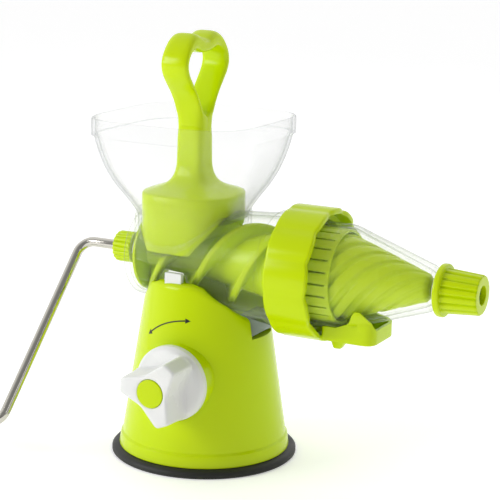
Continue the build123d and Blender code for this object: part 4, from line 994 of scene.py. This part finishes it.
class JUICER_OT_studio(bpy.types.Operator):
    """White sweep, soft lamps and the camera"""

    bl_idname = "juicer.studio"
    bl_label = "Studio"

    def execute(self, context):
        scene = context.scene
        mesh = bpy.data.meshes.new("studio_floor")
        far = 6.0
        mesh.from_pydata([(-far, -far, 0), (far, -far, 0), (far, far, 0), (-far, far, 0)], [],
                         [(0, 1, 2, 3)])
        floor = bpy.data.objects.new("studio_floor", mesh)
        scene.collection.objects.link(floor)
        # Opal acrylic, cast and sanded, lit softly from below.
        mesh.materials.append(new_material("opal_acrylic_light_table", {
            "Base Color": (*scene.juicer_look.floor_colour, 1.0), "Roughness": 0.7,
            "Specular IOR Level": 0.2, "Emission Color": (1, 1, 1, 1),
            "Emission Strength": 0.3})[0])

        # White wall behind the juicer, falling to a dimmer room in front and to its right.
        world = bpy.data.worlds.new("studio")
        world.use_nodes = True
        room = world.node_tree
        place = add_node(room, "ShaderNodeTexCoord")
        axes = add_node(room, "ShaderNodeSeparateXYZ", None, {"Vector": place.outputs["Generated"]})
        lean = add_node(room, "ShaderNodeMath", {"operation": "MULTIPLY_ADD"}, {
            0: axes.outputs["X"], 1: -0.5, 2: axes.outputs["Y"]})
        level = add_node(room, "ShaderNodeMapRange", {"interpolation_type": "SMOOTHSTEP"}, {
            "Value": lean.outputs["Value"], "From Min": -0.7, "From Max": 0.5,
            "To Min": 0.3, "To Max": 1.02})
        room.links.new(level.outputs["Result"], room.nodes["Background"].inputs["Strength"])
        room.nodes["Background"].inputs["Color"].default_value = (1, 1, 1, 1)
        scene.world = world

        for name, place, size, power in (("key", (-1.0, -1.05, 0.7), 0.7, 11.5),
                                         ("side", (1.5, -0.7, 0.7), 0.5, 0.8),
                                         ("back", (0.3, 1.3, 1.2), 1.2, 2.5)):
            lamp = bpy.data.lights.new(name, "AREA")
            lamp.size = size
            lamp.energy = power
            light = bpy.data.objects.new(name, lamp)
            light.location = place
            aim = Vector((0.02, 0, 0.15)) - Vector(place)
            light.rotation_euler = aim.to_track_quat("-Z", "Y").to_euler()
            scene.collection.objects.link(light)

        # The camera stands away from its target, turned round the juicer, raised and rolled.
        around, above, roll = (math.radians(v) for v in (27.076, 12.777, 1.240))
        target, away = Vector((0.0333, 0, 0.1483)), 1.16146
        back = Vector((math.sin(around) * math.cos(above), -math.cos(around) * math.cos(above),
                       math.sin(above)))
        right = Vector((math.cos(around), math.sin(around), 0))
        up = back.cross(right)
        right, up = (math.cos(roll) * right + math.sin(roll) * up,
                     math.cos(roll) * up - math.sin(roll) * right)
        lens = bpy.data.cameras.new("camera")
        lens.sensor_width = 36
        lens.lens = 122.4
        lens.clip_end = 20
        camera = bpy.data.objects.new("camera", lens)
        turn = Matrix((right, up, back)).transposed().to_4x4()
        camera.matrix_world = Matrix.Translation(target + back * away) @ turn
        scene.collection.objects.link(camera)
        scene.camera = camera
        scene.view_settings.view_transform = "Standard"
        return {"FINISHED"}


class JUICER_PT_panel(bpy.types.Panel):
    """Buttons and settings for the juicer"""

    bl_idname = "JUICER_PT_panel"
    bl_label = "Juicer"
    bl_space_type = "VIEW_3D"
    bl_region_type = "UI"
    bl_category = "Juicer"

    def draw(self, context):
        for operator in OPERATORS:
            self.layout.operator(operator.bl_idname)
        for name in JuicerLook.__annotations__:
            self.layout.prop(context.scene.juicer_look, name)


OPERATORS = (
    JUICER_OT_base, JUICER_OT_arrow, JUICER_OT_knob, JUICER_OT_barrel, JUICER_OT_auger,
    JUICER_OT_outlet, JUICER_OT_ring, JUICER_OT_cap, JUICER_OT_spout, JUICER_OT_hopper,
    JUICER_OT_plunger, JUICER_OT_crank, JUICER_OT_small_pieces, JUICER_OT_studio,
)
CLASSES = (JuicerLook, *OPERATORS, JUICER_PT_panel)


def register():
    for cls in CLASSES:
        bpy.utils.register_class(cls)
    bpy.types.Scene.juicer_look = PointerProperty(type=JuicerLook)


def unregister():
    del bpy.types.Scene.juicer_look
    for cls in reversed(CLASSES):
        bpy.utils.unregister_class(cls)


def main():
    register()
    for operator in OPERATORS:
        group, name = operator.bl_idname.split(".")
        getattr(getattr(bpy.ops, group), name)()


if __name__ == "__main__":
    main()
